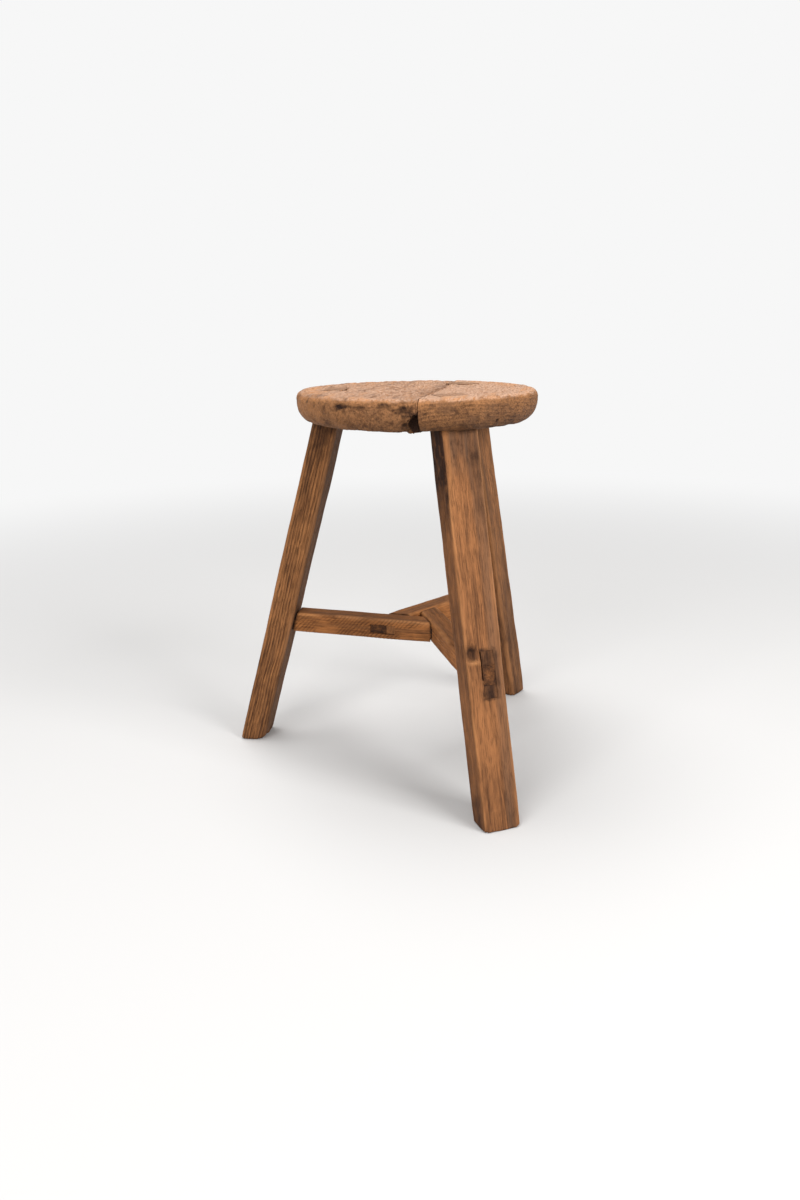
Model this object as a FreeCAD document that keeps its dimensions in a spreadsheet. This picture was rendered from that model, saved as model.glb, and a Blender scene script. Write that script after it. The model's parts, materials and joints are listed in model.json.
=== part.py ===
"""A three-legged wooden milking stool, pegged and wedged together from twenty-three pieces.

The seat is a round plank of two boards. Three square-edged legs splay outwards under it, and each
ends in a tenon that passes up through the seat and is spread by a wedge. Three stretchers tie the
legs together. They don't meet in one point: each ends against the side of the next and passes a
flat tongue through it, so that they turn round a small triangle in the middle.

Millimetres, +Z up. The origin is on the floor under the middle of the stool's plan outline. The
front leg points towards -Y, so the seat's own centre lies on the +Y side of the origin.
"""

import FreeCAD
import Part
import Sketcher
import os
import re

# Driving sizes: alias, value in millimetres or degrees, and what it is.
SIZES = [
    ("seat_height", 450, "floor to the top of the seat"),
    ("seat_diameter", 280, "across the seat at its widest"),
    ("seat_thickness", 36, "thickness of the seat boards"),
    ("seat_top_round", 9, "worn round along the seat's upper rim"),
    ("seat_bottom_round", 20, "larger round along the seat's lower rim"),
    ("seam_angle", 56.6, "direction of the seam between the boards, from +X"),
    ("seam_offset", 27.5, "seam's distance from the seat's centre"),
    ("dowel_diameter", 10, "peg between the seat boards"),
    ("dowel_length", 64, "peg's length, half in each board"),
    ("dowel_middle", 2, "middle peg's place along the seam"),
    ("dowel_spacing", 42, "from one peg to the next along the seam"),
    ("leg_width", 43, "leg's section, along the seat's rim"),
    ("leg_depth", 31, "leg's section, towards the seat's centre"),
    ("leg_edge_round", 3, "worn arris of a leg"),
    ("leg_top_radius", 95.2, "leg's centre line from the seat's centre, at seat height"),
    ("front_azimuth", -90.4, "direction of the front leg"),
    ("left_azimuth", 149.8, "direction of the left leg"),
    ("right_azimuth", 30.7, "direction of the right leg"),
    ("front_foot_radius", 222.2, "front leg's centre line from the seat's centre, at the floor"),
    ("left_foot_radius", 218.3, "left leg's, at the floor"),
    ("right_foot_radius", 215.2, "right leg's, at the floor"),
    ("leg_tenon_width", 34, "tenon through the seat, along the rim"),
    ("leg_tenon_depth", 24, "tenon through the seat, towards the centre"),
    ("tenon_recess", 0.4, "tenon's end below the top of the seat"),
    ("leg_wedge_head", 4, "thickness of the wedge in a leg's tenon, at its top"),
    ("leg_wedge_toe", 1, "thickness at its lower end"),
    ("leg_wedge_length", 24, "how deep it is driven"),
    ("stretcher_level", 149.5, "floor to the underside of a stretcher"),
    ("stretcher_depth", 25, "stretcher's height"),
    ("stretcher_width", 25, "stretcher's thickness in plan"),
    ("stretcher_edge_round", 1.5, "worn arris of a stretcher"),
    ("stretcher_turn", 7.2, "turn of a stretcher from its leg's direction"),
    ("stretcher_offset", 18.8, "stretcher's centre line from the stool's axis"),
    ("tenon_width", 15, "thickness of the stretcher's tenon through its leg"),
    ("tenon_offset", 3.6, "that tenon's middle from the middle of the leg"),
    ("tenon_shoulder", 2, "stretcher's height above and below the tenon"),
    ("upper_wedge_head", 15.5, "height of the wedge over the tenon, at the leg's outer face"),
    ("lower_wedge_head", 13.5, "height of the wedge under it"),
    ("tongue_level", 6.5, "underside of a stretcher to the underside of its flat tongue"),
    ("tongue_depth", 10.5, "height of the tongue through the next stretcher"),
    ("tongue_width", 17.5, "width of the tongue in plan"),
    ("side_wedge_toe", 8, "wedge beside the tongue, where it enters"),
    ("side_wedge_head", 11, "the same wedge, where it comes out"),
    ("joint_gap", 0.1, "play all round a tenon, wedge or peg in its hole"),
]

LEGS = ["front", "left", "right"]
# Each stretcher ends against the side of the next one and carries the tongue of the one before.
NEXT = {"left": "front", "front": "right", "right": "left"}
BEFORE = {"front": "left", "right": "front", "left": "right"}

WEDGE_START = 0.15      # share of the mortise's depth that a wedge stops short of
OVERRUN = 0.3           # share by which a cut is carried past both faces of the piece
SAME_LEVEL = 0.01       # an edge this close to a level lies in it

UNDERSIDE = "(seat_height - seat_thickness)"
TENON_TOP = "(seat_height - tenon_recess)"
TENON_BOTTOM = "(stretcher_level + tenon_shoulder)"
TENON_SURFACE = "(stretcher_level + stretcher_depth - tenon_shoulder)"

doc = FreeCAD.newDocument("milking_stool")
sheet = doc.addObject("Spreadsheet::Sheet", "sizes")
for row, (alias, value, meaning) in enumerate(SIZES, start=1):
    sheet.set(f"A{row}", meaning)
    sheet.set(f"B{row}", str(value))
    sheet.setAlias(f"B{row}", alias)
doc.recompute()
ALIASES = {alias for alias, value, meaning in SIZES}


# ---- formulas -------------------------------------------------------------------------------

def bound(formula):
    """The formula with each alias written as the sheet's cell."""
    return re.sub(r"[a-z_]+", lambda word: f"sizes.{word[0]}" if word[0] in ALIASES else word[0],
                  str(formula))


def between(start, end, share):
    """The point that lies this share of the way from start to end."""
    return tuple(f"(({a}) + {share} * (({b}) - ({a})))" for a, b in zip(start, end))


def slope(leg):
    """How far a leg's centre line moves outwards for each millimetre down."""
    return f"(({leg}_foot_radius - leg_top_radius) / seat_height)"


def leg_radius(leg, level):
    """Distance of the leg's centre line from the stool's axis at this level."""
    return f"({leg}_foot_radius - {slope(leg)} * ({level}))"


def level_cut(leg, thickness):
    """Length of a level cut through something of this thickness that leans like the leg."""
    return f"(({thickness}) * sqrt(1 + {slope(leg)}^2))"


def leg_face(leg, level, side):
    """Distance of the leg's outer (+1) or inner (-1) face from the stool's axis."""
    return f"({leg_radius(leg, level)} + {side} * {level_cut(leg, 'leg_depth / 2')})"


def next_side(leg, across, side):
    """Where the next stretcher's near (+1) or far (-1) side lies on this one's line, at y = across."""
    turn = f"({NEXT[leg]}_azimuth - {leg}_azimuth)"
    reach = f"(({across}) + stretcher_offset) * cos({turn}) - stretcher_offset"
    return f"(({reach} + {side} * stretcher_width / 2) / sin({turn}))"


# The stool's axis lies behind the origin, which is midway between the front foot's outer edge
# and the back of the seat.
AXIS_Y = f"(({leg_face('front', 0, 1)} - seat_diameter / 2) / 2)"


# ---- sketches and features ------------------------------------------------------------------

def new_body(label, turn="0", along="0", across="0"):
    """A body that stands on the floor, turned about the stool's axis and shifted from it."""
    body = doc.addObject("PartDesign::Body", label)
    body.Label = label
    body.setExpression("Placement.Rotation.Angle", bound(turn))
    body.setExpression("Placement.Base.x", bound(f"({along}) * cos({turn}) - ({across}) * sin({turn})"))
    shift = f"({along}) * sin({turn}) + ({across}) * cos({turn})"
    body.setExpression("Placement.Base.y", bound(f"{AXIS_Y} + {shift}"))
    return body


def new_sketch(body, name, plane, shift=("0", "0", "0"), turn="0"):
    """A sketch on the body's level (XY) or upright (XZ) plane, shifted and turned about +Z."""
    sketch = body.newObject("Sketcher::SketchObject", f"{body.Label}_{name}")
    support = [part for part in body.Origin.OriginFeatures if part.Role == f"{plane}_Plane"][0]
    sketch.AttachmentSupport = [(support, "")]
    sketch.MapMode = "FlatFace"
    x, y, z = shift
    upright = plane == "XZ"
    spindle = FreeCAD.Vector(0, 1, 0) if upright else FreeCAD.Vector(0, 0, 1)
    sketch.AttachmentOffset = FreeCAD.Placement(FreeCAD.Vector(), FreeCAD.Rotation(spindle, 1))
    sketch.setExpression("AttachmentOffset.Rotation.Angle", bound(turn))
    sketch.setExpression("AttachmentOffset.Base.x", bound(x))
    sketch.setExpression("AttachmentOffset.Base.y", bound(z if upright else y))
    sketch.setExpression("AttachmentOffset.Base.z", bound(f"-({y})" if upright else z))
    return sketch


def fix_point(sketch, geometry, point, place):
    """Hold one point of the sketch at a place given by two formulas."""
    for kind, formula in zip(("DistanceX", "DistanceY"), place):
        value = float(sketch.evalExpression(bound(formula)))
        index = sketch.addConstraint(Sketcher.Constraint(kind, -1, 1, geometry, point, value))
        sketch.setExpression(f"Constraints[{index}]", bound(formula))


def polygon(sketch, corners):
    """A closed outline of straight lines through the corners."""
    places = [FreeCAD.Vector(*(float(sketch.evalExpression(bound(f))) for f in corner), 0)
              for corner in corners]
    lines = [sketch.addGeometry(Part.LineSegment(start, end))
             for start, end in zip(places, places[1:] + places[:1])]
    for line, following in zip(lines, lines[1:] + lines[:1]):
        sketch.addConstraint(Sketcher.Constraint("Coincident", line, 2, following, 1))
    for line, corner in zip(lines, corners):
        fix_point(sketch, line, 1, corner)
    return sketch


def circle(sketch, centre, diameter):
    """A circle about a place given by two formulas."""
    x, y, radius = (float(sketch.evalExpression(bound(f))) for f in (*centre, f"({diameter}) / 2"))
    ring = Part.Circle(FreeCAD.Vector(x, y, 0), FreeCAD.Vector(0, 0, 1), radius)
    index = sketch.addGeometry(ring)
    fix_point(sketch, index, 3, centre)
    constraint = sketch.addConstraint(Sketcher.Constraint("Radius", index, radius))
    sketch.setExpression(f"Constraints[{constraint}]", bound(f"({diameter}) / 2"))
    return sketch


def pad(body, sketch, length, both_ways=False):
    """Add the sketch's outline, upwards or by half the length each way."""
    feature = body.newObject("PartDesign::Pad", f"{sketch.Name}_pad")
    feature.Profile = sketch
    feature.SideType = "Symmetric" if both_ways else "One side"
    feature.setExpression("Length", bound(length))
    doc.recompute()
    return feature


def pocket(body, sketch, length=None):
    """Cut the sketch's outline away, by half the length each way or right through."""
    before = body.Shape.Volume
    feature = body.newObject("PartDesign::Pocket", f"{sketch.Name}_pocket")
    feature.Profile = sketch
    feature.SideType = "Symmetric"
    if length is None:
        feature.Type = "ThroughAll"
    else:
        feature.setExpression("Length", bound(length))
    doc.recompute()
    return before - body.Shape.Volume


def round_edges(body, name, radius, wanted):
    """Round every edge of the body's last feature for which wanted(edge) is true."""
    base = body.Tip
    edges = [f"Edge{i}" for i, edge in enumerate(base.Shape.Edges, start=1) if wanted(edge)]
    feature = body.newObject("PartDesign::Fillet", f"{body.Label}_{name}")
    feature.Base = (base, edges)
    feature.setExpression("Radius", bound(radius))
    doc.recompute()


def is_long(edge, length):
    """True of a straight edge that is at least this long."""
    return isinstance(edge.Curve, Part.Line) and edge.Length >= length


# ---- outlines that two pieces share ---------------------------------------------------------

def leg_tenon_outline(leg, play):
    """The leg's tenon through the seat, in the upright plane of the leg."""
    half = level_cut(leg, f"leg_tenon_depth / 2 + {play}")
    top = TENON_TOP if play == "0" else "(seat_height + seat_thickness)"
    return [(f"{leg_radius(leg, level)} {sign} {half}", level)
            for level, sign in ((UNDERSIDE, "-"), (UNDERSIDE, "+"), (top, "+"), (top, "-"))]


def leg_wedge_outline(leg, play):
    """The wedge in the top of the leg's tenon, in the same plane."""
    toe_level = f"({TENON_TOP} - leg_wedge_length - {play})"
    head = [(f"{leg_radius(leg, TENON_TOP)} {sign} (leg_wedge_head / 2 + {play})", TENON_TOP)
            for sign in "-+"]
    toe = [(f"{leg_radius(leg, toe_level)} {sign} (leg_wedge_toe / 2 + {play})", toe_level)
           for sign in "-+"]
    if play != "0":
        head = [between(low, high, f"(1 + {OVERRUN})") for low, high in zip(toe, head)]
    return [toe[0], toe[1], head[1], head[0]]


def tenon_wedge_edges(leg, sign):
    """Both ends of a tenon wedge's two long edges: along the tenon, and along the mortise."""
    level, head = (TENON_SURFACE, "upper_wedge_head") if sign == "+" else (
        TENON_BOTTOM, "lower_wedge_head")
    far_level = f"({level} {sign} {head})"
    start = (leg_face(leg, level, -1), level)
    along_tenon = (start, (leg_face(leg, level, 1), level))
    along_mortise = (start, (leg_face(leg, far_level, 1), far_level))
    return along_tenon, along_mortise


def tenon_wedge_outline(leg, sign):
    """A wedge above (+) or below (-) the stretcher's tenon, in the upright plane of the leg."""
    along_tenon, along_mortise = tenon_wedge_edges(leg, sign)
    return [between(*along_tenon, WEDGE_START), along_tenon[1],
            along_mortise[1], between(*along_mortise, WEDGE_START)]


def mortise_outline(leg):
    """The flared mortise through the leg, in the same plane."""
    corners = []
    for sign in "-+":
        start, end = tenon_wedge_edges(leg, sign)[1]
        inner = (f"({start[0]} - leg_depth)", f"({start[1]} {sign} joint_gap)")
        throat = (start[0], f"({start[1]} {sign} joint_gap)")
        outer = between(start, end, f"(1 + {OVERRUN})")
        corners.append([inner, throat, (outer[0], f"({outer[1]} {sign} joint_gap)")])
    lower, upper = corners
    return lower + upper[::-1]


def tongue_sides():
    """The tongue's two sides in plan, measured across the stretcher."""
    return "(stretcher_width / 2)", "(stretcher_width / 2 - tongue_width)"


def side_wedge_edge(leg):
    """Both ends of the side wedge's slanting edge: where it enters and where it comes out."""
    inner_side = tongue_sides()[1]
    enter = f"({inner_side} - side_wedge_toe)"
    leave = f"({inner_side} - side_wedge_head)"
    return (next_side(leg, enter, 1), enter), (next_side(leg, leave, -1), leave)


def tongue_outline(leg):
    """The tongue in plan: from the stretcher's end to the far side of the next stretcher."""
    outer, inner = tongue_sides()
    return [(next_side(leg, outer, 1), outer), (next_side(leg, outer, -1), outer),
            (next_side(leg, inner, -1), inner), (next_side(leg, inner, 1), inner)]


def side_wedge_outline(leg):
    """The wedge beside the tongue in plan."""
    side = f"({tongue_sides()[1]} - joint_gap)"
    enter, leave = side_wedge_edge(leg)
    return [(next_side(leg, side, 1), side), (next_side(leg, side, -1), side), leave, enter]


def tongue_mortise_outline(leg):
    """The hole for tongue and wedge in plan, carried past both sides of the next stretcher."""
    outer = f"({tongue_sides()[0]} + joint_gap)"
    enter, leave = side_wedge_edge(leg)
    near = between(leave, enter, f"(1 + {OVERRUN})")
    far = between(enter, leave, f"(1 + {OVERRUN})")
    return [(f"({next_side(leg, outer, 1)} + {OVERRUN} * stretcher_width)", outer),
            (f"({next_side(leg, outer, -1)} - {OVERRUN} * stretcher_width)", outer),
            (far[0], f"({far[1]} - joint_gap)"), (near[0], f"({near[1]} - joint_gap)")]


# ---- the seat -------------------------------------------------------------------------------

def seam_sketch(body, name):
    """A sketch in the upright plane of the seam between the boards."""
    shift = ("seam_offset * sin(seam_angle)", "-seam_offset * cos(seam_angle)", "0")
    return new_sketch(body, name, "XZ", shift, "seam_angle")


def seat_board(label, side):
    """One half of the round seat. Side is +1 left of the seam and -1 right of it."""
    body = new_body(label)
    disc = circle(new_sketch(body, "disc", "XY", ("0", "0", UNDERSIDE)), ("0", "0"), "seat_diameter")
    pad(body, disc, "seat_thickness")
    top = float(body.evalExpression(bound("seat_height")))
    bottom = float(body.evalExpression(bound(UNDERSIDE)))
    round_edges(body, "top_round", "seat_top_round",
                lambda edge: edge.BoundBox.ZMin > top - SAME_LEVEL)
    round_edges(body, "bottom_round", "seat_bottom_round",
                lambda edge: edge.BoundBox.ZMax < bottom + SAME_LEVEL)
    for leg in LEGS:
        hole = new_sketch(body, f"{leg}_mortise", "XZ", turn=f"{leg}_azimuth")
        outline = leg_tenon_outline(leg, "joint_gap")
        low = [between(outline[3], outline[0], f"(1 + {OVERRUN})"),
               between(outline[2], outline[1], f"(1 + {OVERRUN})")]
        pocket(body, polygon(hole, low + outline[2:]), "leg_tenon_width + 2 * joint_gap")
    for name, step in (("front", "-1"), ("middle", "0"), ("back", "1")):
        hole = seam_sketch(body, f"{name}_dowel_hole")
        place = (f"dowel_middle + {step} * dowel_spacing", "seat_height - seat_thickness / 2")
        circle(hole, place, "dowel_diameter + 2 * joint_gap")
        pocket(body, hole, "dowel_length + 2 * joint_gap")
    other_half = new_sketch(body, "seam", "XY", turn="seam_angle")
    edge = f"(-seam_offset + {side} * joint_gap / 2)"
    beyond = f"(-{side} * seat_diameter)"
    polygon(other_half, [("-seat_diameter", edge), ("seat_diameter", edge),
                         ("seat_diameter", beyond), ("-seat_diameter", beyond)])
    pocket(body, other_half)
    return body


def seat_dowel(name, step):
    """A round peg across the seam, halfway down the boards."""
    body = new_body(f"seat_dowel_{name}")
    place = (f"dowel_middle + {step} * dowel_spacing", "seat_height - seat_thickness / 2")
    pad(body, circle(seam_sketch(body, "section"), place, "dowel_diameter"), "dowel_length", True)
    return body


# ---- the legs -------------------------------------------------------------------------------

def make_leg(leg):
    """A leg sawn level at the floor and under the seat, with its tenon, kerf and mortise."""
    body = new_body(f"leg_{leg}", turn=f"{leg}_azimuth")
    half = level_cut(leg, "leg_depth / 2")
    blank = [(f"{leg_radius(leg, level)} {sign} {half}", level)
             for level, sign in (("0", "-"), ("0", "+"), (UNDERSIDE, "+"), (UNDERSIDE, "-"))]
    pad(body, polygon(new_sketch(body, "blank", "XZ"), blank), "leg_width", True)
    long_edge = float(body.evalExpression(bound(UNDERSIDE)))
    round_edges(body, "arris", "leg_edge_round", lambda edge: is_long(edge, long_edge))
    tenon = polygon(new_sketch(body, "tenon", "XZ"), leg_tenon_outline(leg, "0"))
    pad(body, tenon, "leg_tenon_width", True)
    kerf = polygon(new_sketch(body, "kerf", "XZ"), leg_wedge_outline(leg, "joint_gap"))
    pocket(body, kerf, "2 * leg_tenon_width")
    mortise = new_sketch(body, "mortise", "XZ", ("0", "tenon_offset", "0"))
    pocket(body, polygon(mortise, mortise_outline(leg)), "tenon_width + 2 * joint_gap")
    return body


def leg_wedge(leg):
    """The wedge that spreads the leg's tenon in the seat."""
    body = new_body(f"leg_{leg}_wedge", turn=f"{leg}_azimuth")
    outline = polygon(new_sketch(body, "side", "XZ"), leg_wedge_outline(leg, "0"))
    pad(body, outline, "leg_tenon_width", True)
    return body


# ---- the stretchers -------------------------------------------------------------------------

def stretcher_body(label, leg):
    """A body whose X axis runs outwards along the stretcher's centre line."""
    return new_body(label, turn=f"({leg}_azimuth - stretcher_turn)", across="stretcher_offset")


def leg_plane(body, name, across="0"):
    """A sketch of a stretcher in its leg's upright plane, or this far beside it."""
    shift = (f"-({across}) * sin(stretcher_turn)",
             f"({across}) * cos(stretcher_turn) - stretcher_offset", "0")
    return new_sketch(body, name, "XZ", shift, "stretcher_turn")


def stretcher(leg):
    """A stretcher: shoulder and tenon at its leg, shoulder and flat tongue at the next stretcher."""
    body = stretcher_body(f"stretcher_{leg}", leg)
    half = "(stretcher_width / 2)"
    beyond = f"({leg}_foot_radius + leg_depth)"
    bar = [(next_side(leg, f"-{half}", 1), f"-{half}"), (beyond, f"-{half}"),
           (beyond, half), (next_side(leg, half, 1), half)]
    plan = polygon(new_sketch(body, "plan", "XY", ("0", "0", "stretcher_level")), bar)
    pad(body, plan, "stretcher_depth")
    long_edge = float(body.evalExpression(bound("leg_top_radius")))
    round_edges(body, "arris", "stretcher_edge_round", lambda edge: is_long(edge, long_edge))

    low, high = "0", "(stretcher_level + 2 * stretcher_depth)"
    outside = f"({beyond} + leg_depth)"
    waste = [(leg_face(leg, low, -1), low), (outside, low),
             (outside, high), (leg_face(leg, high, -1), high)]
    pocket(body, polygon(leg_plane(body, "shoulder"), waste))

    inside = f"({leg_face(leg, TENON_BOTTOM, -1)} - stretcher_width / 2)"
    tenon = [(inside, TENON_BOTTOM), (leg_face(leg, TENON_BOTTOM, 1), TENON_BOTTOM),
             (leg_face(leg, TENON_SURFACE, 1), TENON_SURFACE), (inside, TENON_SURFACE)]
    pad(body, polygon(leg_plane(body, "tenon", "tenon_offset"), tenon), "tenon_width", True)

    level = "(stretcher_level + tongue_level)"
    tongue = polygon(new_sketch(body, "tongue", "XY", ("0", "0", level)), tongue_outline(leg))
    pad(body, tongue, "tongue_depth")

    guest = BEFORE[leg]
    turn = f"({guest}_azimuth - {leg}_azimuth)"
    shift = (f"-stretcher_offset * sin({turn})", f"stretcher_offset * (cos({turn}) - 1)",
             f"{level} + tongue_depth / 2")
    hole = polygon(new_sketch(body, "tongue_hole", "XY", shift, turn), tongue_mortise_outline(guest))
    pocket(body, hole, "tongue_depth + 2 * joint_gap")
    return body


def tenon_wedge(leg, name, sign):
    """A wedge driven in from outside, over (+) or under (-) the stretcher's tenon."""
    body = new_body(f"stretcher_{leg}_{name}_wedge", f"{leg}_azimuth", across="tenon_offset")
    outline = polygon(new_sketch(body, "side", "XZ"), tenon_wedge_outline(leg, sign))
    pad(body, outline, "tenon_width", True)
    return body


def side_wedge(leg):
    """The flat wedge beside the tongue, in the next stretcher."""
    body = stretcher_body(f"stretcher_{leg}_side_wedge", leg)
    plane = new_sketch(body, "plan", "XY", ("0", "0", "stretcher_level + tongue_level"))
    pad(body, polygon(plane, side_wedge_outline(leg)), "tongue_depth")
    return body


# ---- the whole stool ------------------------------------------------------------------------

pieces = [seat_board("seat_board_left", 1), seat_board("seat_board_right", -1)]
for dowel_name, dowel_step in (("front", "-1"), ("middle", "0"), ("back", "1")):
    pieces.append(seat_dowel(dowel_name, dowel_step))
for leg_name in LEGS:
    pieces.append(make_leg(leg_name))
    pieces.append(leg_wedge(leg_name))
    pieces.append(stretcher(leg_name))
    pieces.append(tenon_wedge(leg_name, "upper", "+"))
    pieces.append(tenon_wedge(leg_name, "lower", "-"))
    pieces.append(side_wedge(leg_name))
doc.recompute()

for item in doc.Objects:
    if "Invalid" in item.State or "Error" in item.State:
        raise RuntimeError(f"{item.Label} did not recompute: {item.State}")
for piece in pieces:
    if piece.Shape.isNull() or not piece.Shape.isValid() or len(piece.Shape.Solids) != 1:
        raise RuntimeError(f"{piece.Label} is not one valid solid")

os.makedirs("parts", exist_ok=True)
for piece in pieces:
    piece.Shape.exportStep(f"parts/{piece.Label}.step")
    box = piece.Shape.BoundBox
    print(f"{piece.Label}: {piece.Shape.Volume / 1000:.1f} cm3, "
          f"x {box.XMin:.1f}..{box.XMax:.1f}, y {box.YMin:.1f}..{box.YMax:.1f}, "
          f"z {box.ZMin:.1f}..{box.ZMax:.1f}")
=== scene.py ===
"""The looks of an old three-legged milking stool: worn, waxed elm, pegged and wedged together.

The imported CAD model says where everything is. Each visible piece is made again here as a worn
surface that stands for its CAD node. Shapes are worked out in millimetres and written in metres.
"""

import json

import bmesh
import bpy
import numpy as np
from mathutils import Matrix, Vector


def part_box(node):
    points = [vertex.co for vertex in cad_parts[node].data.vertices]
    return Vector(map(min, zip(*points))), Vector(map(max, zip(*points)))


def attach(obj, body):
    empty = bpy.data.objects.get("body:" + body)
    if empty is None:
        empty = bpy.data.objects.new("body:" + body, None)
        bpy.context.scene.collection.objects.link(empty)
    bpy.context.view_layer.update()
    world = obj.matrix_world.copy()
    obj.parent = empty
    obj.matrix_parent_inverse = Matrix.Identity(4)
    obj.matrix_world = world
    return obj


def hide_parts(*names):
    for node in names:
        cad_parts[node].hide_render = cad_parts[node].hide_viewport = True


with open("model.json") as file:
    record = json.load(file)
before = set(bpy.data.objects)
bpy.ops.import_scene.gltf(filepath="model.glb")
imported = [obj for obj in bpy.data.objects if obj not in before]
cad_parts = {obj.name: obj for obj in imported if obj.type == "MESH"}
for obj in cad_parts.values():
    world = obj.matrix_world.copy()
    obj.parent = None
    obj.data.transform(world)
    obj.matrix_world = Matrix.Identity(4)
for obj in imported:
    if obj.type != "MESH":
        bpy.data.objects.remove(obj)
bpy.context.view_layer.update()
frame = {"nodes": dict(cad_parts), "record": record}

MM = 0.001
mounts = {mount["name"]: np.array(mount["pos_m"]) / MM for mount in frame["record"]["mounts"]}
axis = mounts["seat_top"] * (1, 1, 0)        # foot of the stool's upright axis, on the floor
seat_height = mounts["seat_top"][2]


# ---- studio ---------------------------------------------------------------------------------
# A pale matt floor, a large soft light high on the right and a weaker one from the left, as a
# product is lit on a sweep. The camera stands a little above the seat, to the left of the front.

CAMERA_AZIMUTH = -22.53      # degrees from -Y, about the stool's axis
CAMERA_DISTANCE = 1115.7
CAMERA_HEIGHT = 536.8
CAMERA_HEADING = 21.37
CAMERA_PITCH = -17.13
CAMERA_ROLL = -0.8
BACKGROUND = 0.93            # brightness of the paper sweep far behind the stool


def linear(colour):
    """An sRGB hex colour as linear RGBA, by the sRGB transfer curve."""
    parts = np.array([int(colour[i:i + 2], 16) / 255 for i in (1, 3, 5)])
    curve = np.where(parts <= 0.04045, parts / 12.92, ((parts + 0.055) / 1.055) ** 2.4)
    return (*(float(part) for part in curve), 1.0)


def add(tree, kind, inputs=None, **properties):
    """Add a shader node: its properties, and a value or another node's output for each input."""
    made = tree.nodes.new("ShaderNode" + kind)
    for name, value in properties.items():
        setattr(made, name, value)
    for name, value in (inputs or {}).items():
        if isinstance(value, bpy.types.NodeSocket):
            tree.links.new(value, made.inputs[name])
        else:
            made.inputs[name].default_value = value
    return made


def softbox(name, place, width, power):
    """A square area light at a place given in metres, facing the middle of the stool."""
    light = bpy.data.lights.new(name, "AREA")
    light.size = width
    light.energy = power
    lamp = bpy.data.objects.new(name, light)
    aim = Vector((0, 0, 0.25)) - Vector(place)
    lamp.matrix_world = Matrix.Translation(place) @ aim.to_track_quat("-Z", "Y").to_matrix().to_4x4()
    bpy.context.scene.collection.objects.link(lamp)


softbox("key_light", (1.2, -2.1, 1.8), 1.3, 69)
softbox("fill_light", (-2.1, -1.7, 1.6), 1.8, 54)
softbox("top_light", (-0.2, 0.5, 2.6), 1.6, 50)

world = bpy.data.worlds.new("studio")
bpy.context.scene.world = world
world.use_nodes = True
sky = world.node_tree
seen = add(sky, "LightPath").outputs["Is Camera Ray"]
glow = add(sky, "MapRange", {"Value": seen, "To Min": 0.34, "To Max": BACKGROUND}).outputs[0]
sky.links.new(glow, sky.nodes["Background"].inputs["Strength"])
sky.nodes["Background"].inputs["Color"].default_value = linear("#ffffff")

bpy.ops.mesh.primitive_plane_add(size=30)
floor = bpy.context.object
floor.name = "studio_floor"
paper = bpy.data.materials.new("matt_paper")
paper.use_nodes = True
paper_tree = paper.node_tree
away = add(paper_tree, "VectorMath", {0: add(paper_tree, "TexCoord").outputs["Object"]},
           operation="LENGTH").outputs["Value"]
sweep = add(paper_tree, "MapRange", {"Value": away, "From Min": 0.5, "From Max": 2.2},
            interpolation_type="SMOOTHSTEP").outputs[0]
shade = add(paper_tree, "Mix", {0: sweep, 6: linear("#c9c8c7"), 7: linear("#000000")}, data_type="RGBA")
backlit = add(paper_tree, "Math", {0: sweep, 1: BACKGROUND}, operation="MULTIPLY").outputs[0]
paper_surface = paper_tree.nodes["Principled BSDF"]
paper_tree.links.new(shade.outputs[2], paper_surface.inputs["Base Color"])
paper_tree.links.new(backlit, paper_surface.inputs["Emission Strength"])
paper_surface.inputs["Emission Color"].default_value = linear("#ffffff")
paper_surface.inputs["Roughness"].default_value = 0.9
paper_surface.inputs["Specular IOR Level"].default_value = 0.0
floor.data.materials.append(paper)

turn = np.radians(CAMERA_AZIMUTH)
eye = axis + (CAMERA_DISTANCE * np.sin(turn), -CAMERA_DISTANCE * np.cos(turn), CAMERA_HEIGHT)
lens = bpy.data.cameras.new("camera")
lens.lens = 28.22
camera = bpy.data.objects.new("camera", lens)
camera.matrix_world = (Matrix.Translation(Vector(eye * MM))
                       @ Matrix.Rotation(-np.radians(CAMERA_HEADING), 4, "Z")
                       @ Matrix.Rotation(np.radians(90 + CAMERA_PITCH), 4, "X")
                       @ Matrix.Rotation(np.radians(CAMERA_ROLL), 4, "Z"))
bpy.context.scene.collection.objects.link(camera)
bpy.context.scene.camera = camera
bpy.context.scene.view_settings.view_transform = "Standard"


# ---- seat boards ----------------------------------------------------------------------------
# Two boards of old elm, sawn to a round and worn to a bullnose at the rim. The grain runs along
# the seam. The left board is rougher, with a black knot pocket at the seam in its front edge.

SEAT_RADIUS = 140
TOP_ROUND = 9
BOTTOM_ROUND = (19.6, 22.4)      # across and down
SEAM_TURN = np.radians(56.6)     # direction of the seam, from +X
SEAM_OFFSET = 27.5
SEAM_GAP = 0.12                  # half of the open seam
SEAM_ROUND = 0.4                 # worn arris along the seam
END_RING = 4.4                   # spacing of the year rings that show at the rim
BOARD_HEARTS = {1: (22, 74), -1: (70, 260)}      # the heart of each board's tree, across and down
CHORD_STEPS = 190                # grid steps along the seam
ARC_STEPS = 120                  # grid steps along each flank of the rim
seat_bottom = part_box("seat_board_left")[0].z / MM
along_seam = np.array([np.cos(SEAM_TURN), np.sin(SEAM_TURN), 0])
across_seam = np.array([-np.sin(SEAM_TURN), np.cos(SEAM_TURN), 0])


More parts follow.
